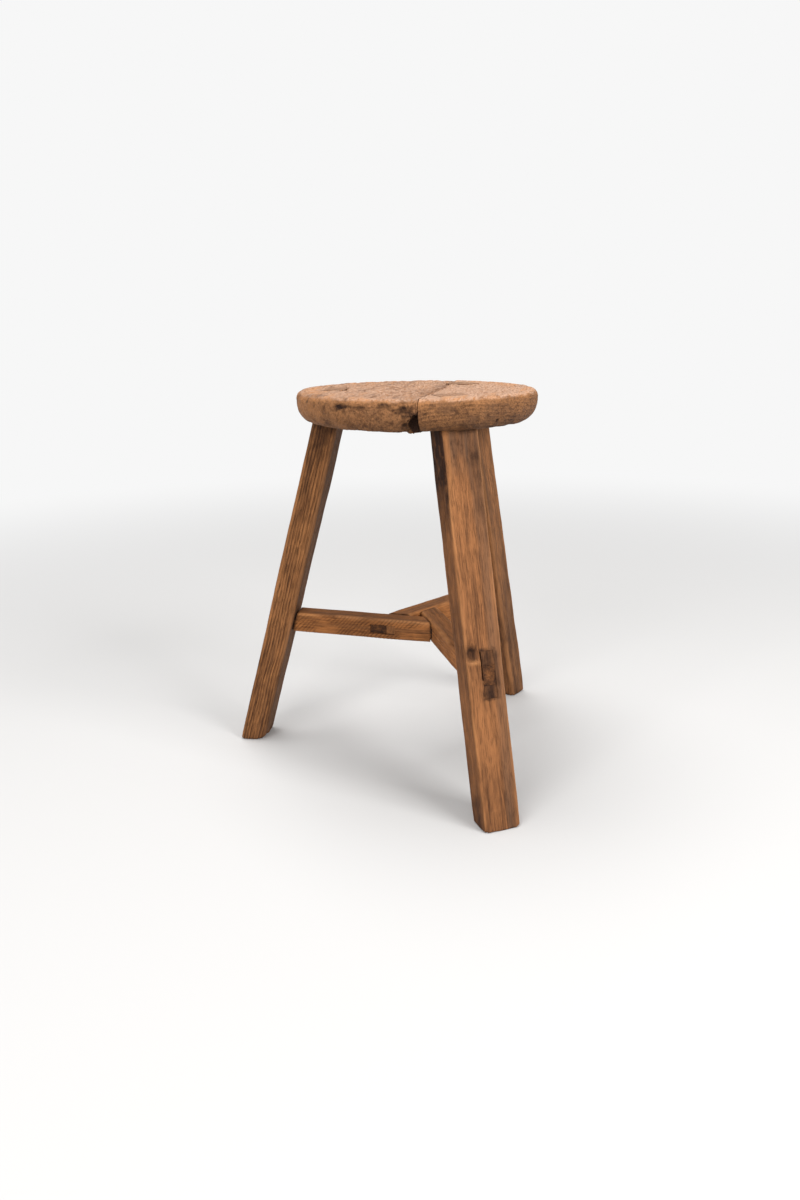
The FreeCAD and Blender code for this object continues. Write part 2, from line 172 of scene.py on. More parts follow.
def cloud(points, size, seed):
    """Smooth noise from -1 to 1: random values on a lattice with this step, in millimetres, eased
    by 3t^2 - 2t^3 between the eight corners round each point."""
    table = np.random.default_rng(seed).uniform(-1, 1, (64, 64, 64))
    place = points / np.asarray(size, float)
    base = np.floor(place)
    share = place - base
    share = share * share * (3 - 2 * share)
    total = np.zeros(place.shape[:-1])
    for corner in np.ndindex(2, 2, 2):
        weight = np.prod(np.where(np.array(corner) > 0, share, 1 - share), axis=-1)
        index = (base.astype(int) + corner) % 64
        total += weight * table[index[..., 0], index[..., 1], index[..., 2]]
    return total


def rough(points, size, seed, layers=3):
    """Layers of cloud, each of half the step and half the height of the one before."""
    size = np.asarray(size, float)
    return sum(cloud(points, size / 2 ** i, seed + i) / 2 ** i for i in range(layers))


def step(value, low, high):
    """0 below low, 1 above high, and eased between them."""
    share = np.clip((value - low) / (high - low), 0, 1)
    return share * share * (3 - 2 * share)


def bump(distance, size):
    """1 at no distance, falling like a bell curve of this size."""
    return np.exp(-(distance / size) ** 2)


def weld(name, sheets):
    """A closed mesh from grids of points, each (rows, columns, 3), whose borders meet."""
    corners, faces, first = [], [], 0
    for sheet in sheets:
        rows, columns = sheet.shape[:2]
        index = first + np.arange(rows * columns).reshape(rows, columns)
        faces.append(np.stack([index[:-1, :-1], index[:-1, 1:], index[1:, 1:], index[1:, :-1]],
                              axis=-1).reshape(-1, 4))
        corners.append(sheet.reshape(-1, 3))
        first += rows * columns
    corners, faces = np.concatenate(corners), np.concatenate(faces)
    mesh = bpy.data.meshes.new(name)
    mesh.vertices.add(len(corners))
    mesh.vertices.foreach_set("co", (corners * MM).astype(np.float32).ravel())
    mesh.loops.add(faces.size)
    mesh.loops.foreach_set("vertex_index", faces.astype(np.int32).ravel())
    mesh.polygons.add(len(faces))
    mesh.polygons.foreach_set("loop_start", np.arange(0, faces.size, 4, dtype=np.int32))
    mesh.update(calc_edges=True)
    shell = bmesh.new()
    shell.from_mesh(mesh)
    bmesh.ops.remove_doubles(shell, verts=shell.verts, dist=1e-6)
    bmesh.ops.recalc_face_normals(shell, faces=shell.faces)
    shell.to_mesh(mesh)
    shell.free()
    piece = bpy.data.objects.new(name, mesh)
    bpy.context.scene.collection.objects.link(piece)
    return piece


def read(mesh, field):
    """The mesh's vertex positions ("co") or normals ("normal") as an array."""
    values = np.empty(len(mesh.vertices) * 3, np.float32)
    mesh.vertices.foreach_get(field, values)
    return values.reshape(-1, 3).astype(float)


def weather(piece, height):
    """Move each point along its normal by height(points), all in millimetres."""
    places = read(piece.data, "co") / MM
    places += read(piece.data, "normal") * height(places)[:, None]
    piece.data.vertices.foreach_set("co", (places * MM).astype(np.float32).ravel())
    piece.data.update()


def work(piece, tools, operation="DIFFERENCE"):
    """Cut the tools out of the piece, or join them to it, and throw the tools away."""
    for tool in tools:
        cut = piece.modifiers.new("cut", "BOOLEAN")
        cut.operation = operation
        cut.solver = "MANIFOLD"
        cut.object = tool
    worked = piece.evaluated_get(bpy.context.evaluated_depsgraph_get())
    rough_mesh = piece.data
    piece.data = bpy.data.meshes.new_from_object(worked)
    piece.modifiers.clear()
    bpy.data.meshes.remove(rough_mesh)
    for tool in tools:
        bpy.data.objects.remove(tool)


def prism(start, end, steps, end_round=0.0):
    """A bar between two four-cornered ends, as one closed grid: rings round its four sides, drawn
    in along a quarter circle over end_round at both ends, then shrunk to the middle of each end."""
    start, end = np.asarray(start, float), np.asarray(end, float)
    around, lengthwise = steps
    side, share = np.divmod(np.linspace(0, 4, 4 * around + 1), 1)
    side = side.astype(int) % 4
    first, last = (ends[side] + (ends[(side + 1) % 4] - ends[side]) * share[:, None]
                   for ends in (start, end))
    reach = np.linalg.norm(end.mean(0) - start.mean(0))
    thickness = min(np.linalg.norm(start[0] - start[1]), np.linalg.norm(start[1] - start[2])) / 2
    bend = np.linspace(0, np.pi / 2, 4)
    from_end = end_round / reach * (1 - np.cos(bend))
    drawn_in = 1 - end_round / thickness * (1 - np.sin(bend))
    cap = np.linspace(0, drawn_in[0], around, endpoint=False)
    between = np.linspace(from_end[-1], 1 - from_end[-1], lengthwise + 2)[1:-1]
    place = np.concatenate([cap * 0, from_end, between, 1 - from_end[::-1], cap * 0 + 1])
    size = np.concatenate([cap, drawn_in, between * 0 + 1, drawn_in[::-1], cap[::-1]])
    rings = first + (last - first) * place[:, None, None]
    middle = rings.mean(1, keepdims=True)
    return middle + (rings - middle) * size[:, None, None]


def old_elm(name, early, late, bare, veil, spacing, lines, streaks, fibres, mottle, blotch, relief,
            flecks=0.6):
    """Waxed old elm. Year rings are sawtooth cylinders about the tree's heart, which lies along
    the first axis of "grain", in millimetres; fibres and streaks are noise drawn out along it.
    "marks" holds what a piece's life did to it, rubbed, grimy, greyed and bare, and light painted on it: highlights
    in rubbed and shade in grimy."""
    material = bpy.data.materials.new(name)
    material.use_nodes = True
    tree = material.node_tree
    surface = tree.nodes["Principled BSDF"]
    grain = add(tree, "Attribute", attribute_name="grain").outputs["Vector"]
    marks = add(tree, "Attribute", attribute_name="marks")
    part = add(tree, "SeparateColor", {"Color": marks.outputs["Color"]}).outputs
    drift = add(tree, "Mapping", {"Vector": grain, "Scale": (1 / 110, 1 / 26, 1 / 26)}).outputs[0]
    drift = add(tree, "TexNoise", {"Vector": drift, "Scale": 1, "Detail": 2}).outputs["Color"]
    wood = add(tree, "VectorMath", {0: drift, 1: (0, 7, 7), 2: grain},
               operation="MULTIPLY_ADD").outputs[0]
    rings = add(tree, "TexWave", {"Vector": wood, "Scale": 0.314 / spacing}, wave_type="RINGS",
                rings_direction="X", wave_profile="SAW").outputs["Fac"]
    noises = {}
    for kind, long_way, cross_way, detail in (("fibre", 50, 1.7, 2), ("streak", 150, 6, 3),
                                              ("pore", 14, 0.8, 0), ("mottle", 20, 9, 4),
                                              ("blotch", 90, 26, 4), ("fleck", 8, 2.4, 3)):
        scale = (1 / long_way, 1 / cross_way, 1 / cross_way)
        place = add(tree, "Mapping", {"Vector": wood, "Scale": scale}).outputs[0]
        noises[kind] = add(tree, "TexNoise", {"Vector": place, "Scale": 1, "Detail": detail,
                                              "Roughness": 0.6}).outputs["Fac"]
    pores = add(tree, "MapRange", {"Value": noises["pore"], "From Min": 0.62, "From Max": 0.74}).outputs[0]
    weights = {"streak": streaks, "fibre": fibres, "mottle": mottle, "blotch": blotch, "fleck": flecks}
    base = 0.42 - 0.5 * (lines + sum(weights.values()))
    share = add(tree, "Math", {0: rings, 1: lines, 2: base}, operation="MULTIPLY_ADD").outputs[0]
    for kind, weight in weights.items():
        share = add(tree, "Math", {0: noises[kind], 1: weight, 2: share},
                    operation="MULTIPLY_ADD").outputs[0]
    colour = add(tree, "Mix", {0: share, 6: linear(early), 7: linear(late)}, data_type="RGBA").outputs[2]
    layers = (
        (pores, linear("#2b180c"), 0.3, 0.0, "streak"),
        (marks.outputs["Alpha"], linear(bare), 0.76, 4.2, "fleck"),
        (part["Blue"], linear(veil), 0.6, 1.6, "streak"),
        # Red: rubbed wear, in places a painted highlight.
        (part["Red"], linear("#be824f"), 0.55, 1.2, "mottle"),
        # Green: grime, and painted shade under, between and on the unlit sides of things.
        (part["Green"], linear("#2a1508"), 0.72, 1.6, "mottle"),
    )
    for mask, tint, cover, uneven, kind in layers:
        patchy = add(tree, "Math", {0: noises[kind], 1: uneven, 2: cover - uneven / 2},
                     operation="MULTIPLY_ADD").outputs[0]
        cover = add(tree, "Math", {0: mask, 1: patchy}, operation="MULTIPLY", use_clamp=True).outputs[0]
        colour = add(tree, "Mix", {0: cover, 6: colour, 7: tint}, data_type="RGBA").outputs[2]
    height = add(tree, "Math", {0: pores, 1: -0.6, 2: 0.0}, operation="MULTIPLY_ADD").outputs[0]
    for source, weight in ((rings, 0.4 * lines), (noises["fibre"], 0.9), (noises["streak"], 0.8),
                           (noises["mottle"], 0.8 * mottle), (noises["fleck"], 0.8)):
        height = add(tree, "Math", {0: source, 1: weight, 2: height}, operation="MULTIPLY_ADD").outputs[0]
    relief_node = add(tree, "Bump", {"Height": height, "Strength": 1.0, "Distance": relief * MM})
    gloss = add(tree, "MapRange", {"Value": part["Red"], "To Min": 0.78, "To Max": 0.58}).outputs[0]
    tree.links.new(colour, surface.inputs["Base Color"])
    tree.links.new(gloss, surface.inputs["Roughness"])
    tree.links.new(relief_node.outputs[0], surface.inputs["Normal"])
    surface.inputs["IOR"].default_value = 1.48
    surface.inputs["Specular IOR Level"].default_value = 0.22
    return material


def finish_piece(piece, material, grain, marks):
    """Give the piece its material, its grain (points to grain places) and its marks (points to rubbed with some
    painted highlight, grimy with painted shade, greyed and bare, each from 0 to 1), and smooth shading between
    sharp arrises."""
    mesh = piece.data
    places = read(mesh, "co") / MM
    layer = mesh.attributes.new("grain", "FLOAT_VECTOR", "POINT")
    layer.data.foreach_set("vector", grain(places).astype(np.float32).ravel())
    layer = mesh.attributes.new("marks", "FLOAT_COLOR", "POINT")
    values = np.stack([np.broadcast_to(mark, len(places)) for mark in marks(places)], axis=-1)
    layer.data.foreach_set("color", np.clip(values, 0, 2).astype(np.float32).ravel())
    mesh.materials.clear()
    mesh.materials.append(material)
    mesh.shade_smooth()
    mesh.set_sharp_from_angle(angle=np.radians(50))


def board_ring(side, inset, seam_inset):
    """A board's outline at one level: a chord along the seam and three stretches of the seat's
    circle, closed, as (columns, 2): along the seam and away from it, from the stool's axis."""
    flank = 0.28         # share of the arc in each of its two outer stretches
    radius = SEAT_RADIUS - inset
    chord = SEAM_GAP + seam_inset - side * SEAM_OFFSET
    first = np.arcsin(chord / radius)
    share = np.concatenate([np.linspace(0, flank, ARC_STEPS, endpoint=False),
                            np.linspace(flank, 1 - flank, CHORD_STEPS, endpoint=False),
                            np.linspace(1 - flank, 1, ARC_STEPS + 1)])
    angle = first + (np.pi - 2 * first) * share
    arc = radius * np.stack([np.cos(angle), np.sin(angle)], axis=-1)
    return np.concatenate([np.linspace(arc[-1], arc[0], CHORD_STEPS, endpoint=False), arc])


def fill(ring):
    """A grid across a closed outline: opposite sides are blended, less the blend of the corners."""
    n, m = CHORD_STEPS, ARC_STEPS
    near, right = ring[:n + 1], ring[n:n + m + 1]
    far, left = ring[n + m:2 * n + m + 1][::-1], ring[2 * n + m:][::-1]
    u = np.linspace(0, 1, n + 1)[:, None, None]
    v = np.linspace(0, 1, m + 1)[None, :, None]
    sides = (1 - v) * near[:, None] + v * far[:, None] + (1 - u) * left[None] + u * right[None]
    ends = ((1 - u) * (1 - v) * near[0] + u * (1 - v) * near[-1]
            + (1 - u) * v * far[0] + u * v * far[-1])
    return sides - ends


def board_sheets(side):
    """A board's three grids: its rim and seam face, a quarter circle over a quarter ellipse, and
    the flat top and underside."""
    top = np.linspace(0, np.pi / 2, 12)
    low = np.linspace(0, np.pi / 2, 26)
    across, down = BOTTOM_ROUND
    straight = np.linspace(seat_height - TOP_ROUND, seat_bottom + down, 5)[1:-1]
    inset = np.concatenate([TOP_ROUND * (1 - np.sin(top)), straight * 0, across * (1 - np.cos(low))])
    level = np.concatenate([seat_height - TOP_ROUND * (1 - np.cos(top)), straight,
                            seat_bottom + down * (1 - np.sin(low))])
    past = np.maximum(level - (seat_height - SEAM_ROUND), seat_bottom + SEAM_ROUND - level)
    seam_inset = SEAM_ROUND - np.sqrt(SEAM_ROUND ** 2 - np.clip(past, 0, SEAM_ROUND) ** 2)
    rings = [board_ring(side, *insets) for insets in zip(inset, seam_inset)]
    flat = [(np.stack(rings), level[:, None]), (fill(rings[0]), level[0]), (fill(rings[-1]), level[-1])]
    return [axis + grid[..., :1] * along_seam + side * grid[..., 1:] * across_seam
            + np.broadcast_to(height, grid.shape[:-1])[..., None] * (0, 0, 1) for grid, height in flat]


def seat_grain(points, side):
    """Along the seam, across it and up, from the heart of the board's tree, below the seat."""
    inside = points - axis
    across, down = BOARD_HEARTS[side]
    return np.stack([inside @ along_seam, inside @ across_seam + across,
                     points[:, 2] - seat_height + down], axis=-1)


def rim_place(points):
    """Azimuth in degrees and distance from the stool's axis."""
    inside = points - axis
    return np.degrees(np.arctan2(inside[:, 1], inside[:, 0])), np.hypot(inside[:, 0], inside[:, 1])


def rim_spots(points, spots):
    """The strongest of several round or long spots on the rim, given as azimuth, level, width,
    height and strength."""
    azimuth, radius = rim_place(points)
    best = np.zeros(len(points))
    for at, level, wide, high, strength in spots:
        away = np.hypot(np.radians(azimuth - at) * SEAT_RADIUS / wide, (points[:, 2] - level) / high)
        best = np.maximum(best, strength * bump(away, 1))
    return best * step(radius, SEAT_RADIUS - 30, SEAT_RADIUS - 16)


def top_spots(points, spots):
    """The strongest of several spots on the top, given as azimuth, distance from the axis, length
    along the seam, width across it and strength."""
    inside = points - axis
    best = np.zeros(len(points))
    for at, distance, long_way, wide, strength in spots:
        away = inside - distance * np.array([np.cos(np.radians(at)), np.sin(np.radians(at)), 0])
        best = np.maximum(best, strength * bump(np.hypot(away @ along_seam / long_way,
                                                         away @ across_seam / wide), 1))
    return best * step(points[:, 2], seat_height - 6, seat_height - 3)


def leg_frame(name):
    """A leg's directions outwards and along the rim, its centre line's distance from the axis at
    the floor, and how much nearer it comes for each millimetre up."""
    foot = mounts[f"foot_{name}"] - axis
    low, high = (np.array(corner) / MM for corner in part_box(f"leg_{name}_wedge"))
    wedge = (low + high) / 2 - axis
    radius = np.hypot(foot[0], foot[1])
    out = foot / radius
    slope = (radius - wedge @ out) / wedge[2]
    return out, np.array([-out[1], out[0], 0]), radius, slope


def from_leg(name, places):
    """Points given by a leg's own measures (along the rim, outwards from its centre line, level)."""
    out, along_rim, radius, slope = leg_frame(name)
    places = np.asarray(places, float)
    across, outwards, level = places[..., :1], places[..., 1:2], places[..., 2:]
    return axis + across * along_rim + (radius - slope * level + outwards) * out + level * (0, 0, 1)


def to_leg(name, points):
    """The leg's own measures of some points."""
    out, along_rim, radius, slope = leg_frame(name)
    inside = points - axis
    level = points[:, 2]
    return np.stack([inside @ along_rim, inside @ out - (radius - slope * level), level], axis=-1)


LEGS = ("front", "left", "right")
TENON = (17, 12.5)           # half of a leg's tenon in the seat, along the rim and outwards
TENON_GAP = 0.35

KNOT_POCKET = (-112.6, 423, 8.8, 11.2, 1.0)
KNOT_WALL = (-117, 418, 9.5, 10, 1.0)
LEFT_STAINS = (
    (-147, 441, 10, 6, 1.1), (-141, 438, 6, 4, 0.8), (-134.5, 440, 12, 5, 0.9),
    (-126, 441, 14, 4.5, 1.1), (-119, 439, 13, 6, 1.2), (-115.5, 433, 11, 7, 1.3),
    (-166.5, 440, 5, 4, 0.9), (-159, 433, 5, 6, 0.9), (-171, 444, 5, 3.5, 0.7),
    (-147, 430, 8, 7, 0.6), (-130, 433, 10, 6, 0.6), (-123, 425, 9, 6, 0.6), (-138, 423, 12, 6, 0.5),
    (150, 440, 9, 4, 0.9), (100, 436, 14, 4, 0.9), (122, 428, 8, 7, 0.7), (75, 441, 12, 4, 0.8),
)
RIGHT_STAINS = (
    (-98, 439, 12, 4, 0.8), (-90, 441, 9, 3, 0.7), (-96, 433, 7, 5, 0.7), (-109, 434, 3, 9, 0.8),
    (-73.5, 424, 2, 2, 1.6), (-19.5, 434, 12, 1.6, 1.2), (-15.5, 417, 6, 4, 0.9), (-84, 428, 14, 5, 0.5),
    (10, 438, 12, 5, 0.9), (32, 441, 9, 4, 0.9), (-50, 436, 16, 3, 0.6), (-62, 420, 12, 4, 0.5),
)
TOP_PITS = (
    (158, 104, 5, 3, 0.9), (146, 108, 3, 2.5, 0.9), (131, 98, 6, 2.2, 0.9), (171, 108, 4, 2.5, 0.6),
    (-147, 131, 9, 2.2, 0.7), (-141, 99, 14, 4, 0.5), (175, 62, 4, 3, 0.5), (38, 82, 8, 2, 0.9),
    (5, 77, 6, 2.2, 0.7), (80, 60, 12, 2.5, 0.5), (110, 96, 9, 3, 0.5), (-120, 40, 16, 2, 0.4),
)


def rim_stains(points, side):
    """Ragged stains on the rim: the board's spots, broken up by noise."""
    spots = rim_spots(points, LEFT_STAINS if side > 0 else RIGHT_STAINS)
    return step(spots + 0.65 * rough(points * (1, 1, 1.7), 6, 59, 4), 0.2, 1.45)


def ring_lines(grain):
    """1 on the dark line of each year ring, seen end on at the rim: a raised cosine of the distance
    from the heart, which wanders a little."""
    distance = np.hypot(grain[:, 1], grain[:, 2]) + 1.6 * cloud(grain, (60, 16, 16), 77)
    return step(np.cos(2 * np.pi * distance / END_RING), 0.1, 0.95) * step(rough(grain, 18, 79), -0.8, 0.3)


def tenon_edge(points):
    """Distance in the top's plane from the outline of the nearest leg tenon."""
    nearest = np.full(len(points), 1e3)
    for leg in LEGS:
        place = np.abs(to_leg(leg, points)[:, :2]) - TENON
        nearest = np.minimum(nearest, np.abs(place.max(1)))
    return nearest


def board_height(points, side):
    """How far a board's surface stands off its plain shape: broad hollows, gouged and raised grain
    on the left board, stains and pits sunk a little, and the knot pocket sunk deep."""
    grain = seat_grain(points, side)
    top = step(points[:, 2], seat_height - 8, seat_height - 1)
    azimuth, radius = rim_place(points)
    coarse = 1.0 if side > 0 else 0.45
    height = coarse * (0.7 * rough(grain, (75, 28, 28), 11) - 0.35)
    height += coarse * top * 1.1 * np.minimum(rough(grain, (26, 7, 7), 23, 4), 0.15)
    height += 0.16 * cloud(grain, (34, 3.4, 3.4), 31)
    height += coarse * (1 - top) * (0.7 * rough(points, 13, 35, 4) - 0.3)
    height -= top * 1.3 * (1 - (radius / SEAT_RADIUS) ** 2)
    worn_gap = step(cloud(points, 11, 41), -0.1, 0.5) * bump(tenon_edge(points), 1.8)
    height -= top * 2.0 * worn_gap
    height -= 2.2 * top_spots(points, TOP_PITS)
    height -= (1 - top) * 0.9 * rim_stains(points, side)
    height -= (1 - top) * 0.3 * ring_lines(grain)
    if side > 0:
        from_seam = (points - axis) @ across_seam + SEAM_OFFSET
        height -= top * 0.45 * step(-from_seam, -24, -2)
        sag = bump(azimuth + 118, 8) * step(radius, SEAT_RADIUS - 34, SEAT_RADIUS - 20)
        height += 1.8 * sag * step(seat_bottom + 7 - points[:, 2], 0, 7)
        pocket = rim_spots(points, [KNOT_POCKET])
        wall = rim_spots(points, [KNOT_WALL])
        height -= 4.5 * step(wall + 0.25 * rough(points, 6, 45), 0.35, 0.85)
        height -= 11 * step(pocket + 0.15 * rough(points, 5, 47), 0.35, 0.62)
    return height


def board_marks(points, side):
    """Rubbed along the upper arris and, as partly painted light, on the left flank; painted shade towards the
    underside of the rim; grimy in the stains and in the pocket; bare on top.
    """
    grain = seat_grain(points, side)
    level = points[:, 2]
    radius = rim_place(points)[1]
    rim = step(radius, SEAT_RADIUS - 12, SEAT_RADIUS - 4)
    rubbed = bump(level - (seat_height - 4.5), 4) * rim * (0.55 + 0.6 * rough(grain, (20, 14, 14), 57))
    top = step(level + 1.2 * rough(points, 9, 53), seat_height - 4.5, seat_height - 1.5)
    amber = step(radius, SEAT_RADIUS - 45, SEAT_RADIUS - 15) * step(rough(grain, (50, 9, 9), 63, 4), 0.05, 0.5)
    rubbed = np.maximum(rubbed, 0.85 * top * amber)
    if side > 0:
        # Partly painted light: the rim's left flank, which faces the fill light, is lightened as if rubbed by
        # hands.
        handled_and_lit_side = step(-(points - axis)[:, 0], 70, 130) * step(rough(grain, (20, 10, 10), 81), -0.8, 0.5)
        rubbed = np.maximum(rubbed, 0.75 * (1 - top) * handled_and_lit_side)
    # Painted shade: the rim darkens towards its underside, less on the left board, where the fill light falls.
    low = step(seat_height - 12 - level + 5 * rough(points, 18, 67, 4), 0, seat_height - 12 - seat_bottom)
    grime_and_shade = (0.54 if side > 0 else 0.66) * low
    grime_and_shade = np.maximum(grime_and_shade, 0.28 * (1 - top) * step(rough(points, 15, 61), 0, 1))
    grime_and_shade = np.maximum(grime_and_shade, 1.2 * (1 - top) * rim_stains(points, side))
    grime_and_shade = grime_and_shade + (0.12 if side > 0 else 0.2) * (1 - top) * ring_lines(grain)
    grime_and_shade = np.maximum(grime_and_shade, 1.2 * top_spots(points, TOP_PITS))
    grime_and_shade = np.maximum(grime_and_shade, top * 1.1 * step(cloud(points, 11, 41), 0.0, 0.5)
                       * bump(tenon_edge(points), 1.3))
    if side > 0:
        grime_and_shade = np.maximum(grime_and_shade, 1.1 * step(rim_spots(points, [KNOT_WALL]) + 0.3 * rough(points, 4, 75), 0.2, 0.9))
        grime_and_shade = np.maximum(grime_and_shade, 2.0 * step(rim_spots(points, [KNOT_POCKET]), 0.3, 0.5))
        grime_and_shade = np.maximum(grime_and_shade, top * 0.5 * step(rough(grain, (24, 7, 7), 71), 0.1, 0.9))
        from_seam = (points - axis) @ across_seam + SEAM_OFFSET
        grime_and_shade = np.maximum(grime_and_shade, top * 0.3 * step(-from_seam, -26, -4))
    # Partly painted light: the grey veil is weaker on the left board, where the fill light falls.
    grey = (1 - top) * (0.3 if side > 0 else 0.6) * step(rough(grain, (40, 14, 14), 73), -0.6, 0.5)
    return rubbed, grime_and_shade, grey, top * (0.95 if side > 0 else 1.15)


board_elm = {
    1: old_elm("old_elm_left_board", early="#a06f47", late="#623f27", bare="#b8937a", veil="#70503a",
               spacing=4.5, lines=0.15, streaks=1.0, fibres=1.5, mottle=1.7, blotch=1.4, relief=1.6,
               flecks=2.4),
    -1: old_elm("old_elm_right_board", early="#9a6a42", late="#67442b", bare="#b8937a", veil="#70503a",
                spacing=4.0, lines=0.55, streaks=1.0, fibres=1.4, mottle=1.1, blotch=1.2, relief=1.4,
                flecks=1.8),
}


def mortise_tool(leg):
    """A plug of a leg's tenon and its play, to cut the seat boards with."""
    wide, deep = np.array(TENON) + TENON_GAP
    corners = [(-wide, -deep), (wide, -deep), (wide, deep), (-wide, deep)]
    low, high = (from_leg(leg, [(*corner, level) for corner in corners])
                 for level in (seat_bottom - 5, seat_height + 5))
    return weld("tool", [prism(low, high, (1, 1))])


def stand_in(piece, node):
    """The piece takes the place of a CAD node, which is hidden, and rides on the stool's one body."""
    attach(piece, "root")
    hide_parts(node)


for board, side in (("left", 1), ("right", -1)):
    piece = weld(f"worn_board_{board}", board_sheets(side))
    weather(piece, lambda points: board_height(points, side))
    work(piece, [mortise_tool(leg) for leg in LEGS])
    finish_piece(piece, board_elm[side], lambda points: seat_grain(points, side),
                 lambda points: board_marks(points, side))
    stand_in(piece, f"seat_board_{board}")


# ---- legs -----------------------------------------------------------------------------------
# Three legs sawn from the same elm, a tenon at the top of each passing up through the seat and
# spread by a thin wedge. Their arrises are worn round, their feet rubbed down on stone floors.

LEG_WIDTH = 43               # along the rim
LEG_DEPTH = 31               # outwards, square to the leg
SHOULDER_SUNK = 2            # the shoulder runs this far up into the seat, so that no gap shows
POINT_SPACING = 1.15         # grid steps round and along a leg
HANDLED_ROUND = 3            # a leg's usual arris
RECESS = 0.4                 # a tenon's end below the top of the seat
KERF = (4.0, 1.0, 24.0)      # the wedge's thickness at its head and toe, and its length
STRETCHER_TENON = (3.6, 7.5)             # its middle from the middle of the leg, and half its width
STRETCHER_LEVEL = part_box("stretcher_left")[0].z / MM
STRETCHER_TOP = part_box("stretcher_left")[1].z / MM
TENON_LEVELS = (STRETCHER_LEVEL + 2, STRETCHER_TOP - 2)
WEDGE_HEADS = (13.5, 15.5)               # below and above that tenon


def soften(outline, half, radius, facet):
    """Round off a rectangle's corners. What lies beyond the core (half less radius) is brought to
    the length of the radius, measured with the power facet: 2 for a round arris, 1 for a flat
    one. Gives the new points and their outward directions."""
    core = half - radius[..., None]
    over = np.maximum(np.abs(outline) - core, 0)
    length = (over ** facet[..., None]).sum(-1) ** (1 / facet)
    square = np.sign(outline)
    points = square * (np.minimum(np.abs(outline), core) + over * (radius / length)[..., None])
    return points, square * over / np.linalg.norm(over, axis=-1, keepdims=True)


def rectangle(width, depth, spacing):
    """Evenly spaced points round a unit square that stands for a width x depth section, closed."""
    counts = [int(round(side / spacing)) for side in (width, depth, width, depth)]
    corners = np.array([(-1, -1), (1, -1), (1, 1), (-1, 1), (-1, -1)], float)
    sides = [np.linspace(start, end, count, endpoint=False)
             for start, end, count in zip(corners, corners[1:], counts)]
    return np.concatenate([*sides, corners[:1]])


def arris(name, level, square):
    """Each corner's rounding and its power: worn unevenly, with the front leg's left arris planed to a flat near
    the top."""
    corner = square[..., 0] * 3 + square[..., 1]
    place = np.stack([level, corner * 40, level * 0], axis=-1)
    radius = HANDLED_ROUND + 0.9 * cloud(place, (38, 1, 1), 83) + 0.4 * cloud(place, (11, 1, 1), 85)
    facet = np.full(radius.shape, 2.0)
    if name == "front":
        flat = (square[..., 0] < 0) * (square[..., 1] > 0) * step(level, 315, 375)
        radius = radius + flat * 4.0
        facet = facet - flat * 0.75
    radius = radius + 1.6 * bump(level, 9)
    return radius, facet


def leg_sheet(name):
    """A leg as one grid of level rings, from the middle of its foot up its faces, in over the
    shoulder, up the tenon and in over the tenon's end."""
    slope = leg_frame(name)[3]
    lean = np.hypot(1, slope)
    half = np.array([LEG_WIDTH / 2, LEG_DEPTH / 2 * lean])
    square = rectangle(LEG_WIDTH, LEG_DEPTH, POINT_SPACING)
    shoulder = seat_bottom + SHOULDER_SUNK
    foot_levels = 14 * np.linspace(0, 1, 16) ** 1.6
    levels = np.concatenate([foot_levels, np.arange(15, shoulder - 0.5, POINT_SPACING), [shoulder]])
    corner = np.sign(np.where(np.abs(square) < 0.999, square, square))
    radius, facet = arris(name, levels[:, None] + 0 * corner[None, :, 0],
                          np.broadcast_to(corner, (len(levels), *corner.shape)))
    section, outwards = soften(np.broadcast_to(square * half, (len(levels), *square.shape)), half,
                               radius, facet)
    foot_round = 2.8 + 1.4 * cloud(np.stack([section[0, :, 0], section[0, :, 1],
                                             0 * section[0, :, 0]], axis=-1), (13, 13, 1), 87)
    foot_round = foot_round + 3.2 * step(np.abs(square).min(-1), 0.75, 1.0)
    if name == "left":
        foot_round = foot_round + 7 * (square[:, 0] > 0) * step(-square[:, 1], 0.2, 1.0)
    below = np.clip(foot_round - levels[:, None], 0, None)
    drawn_in = foot_round - np.sqrt(np.maximum(foot_round ** 2 - below ** 2, 0))
    section = section - outwards * drawn_in[..., None]
    sole = section[0] * np.linspace(0, 1, 12, endpoint=False)[:, None, None]
    tenon_half = np.array([TENON[0], TENON[1] - 0.5])
    tenon = soften(square * tenon_half, tenon_half, np.full(len(square), 1.2),
                   np.full(len(square), 2.0))[0]
    share = np.linspace(0, 1, 6)[1:, None, None]
    ledge = section[-1] + (tenon - section[-1]) * share
    top = seat_height - RECESS
    tenon_levels = np.concatenate([np.linspace(shoulder, top - 0.8, 9)[1:], [top - 0.3, top]])
    stem = tenon * np.where(tenon_levels >= top, 0.97, 1.0)[:, None, None]
    end = stem[-1] * np.linspace(1, 0, 14)[1:, None, None]
    sections = np.concatenate([sole, section, ledge, stem, end])
    heights = np.concatenate([np.zeros(len(sole)), levels, np.full(len(ledge), shoulder),
                              tenon_levels, np.full(len(end), top)])
    heights = np.broadcast_to(heights[:, None, None], (*sections.shape[:2], 1))
    return from_leg(name, np.concatenate([sections, heights], axis=-1))


def edge_distance(across, outwards, half_width, half_depth):
    """Distance along a face from the nearest long arris."""
    return np.maximum(half_width - np.abs(across), half_depth - np.abs(outwards))


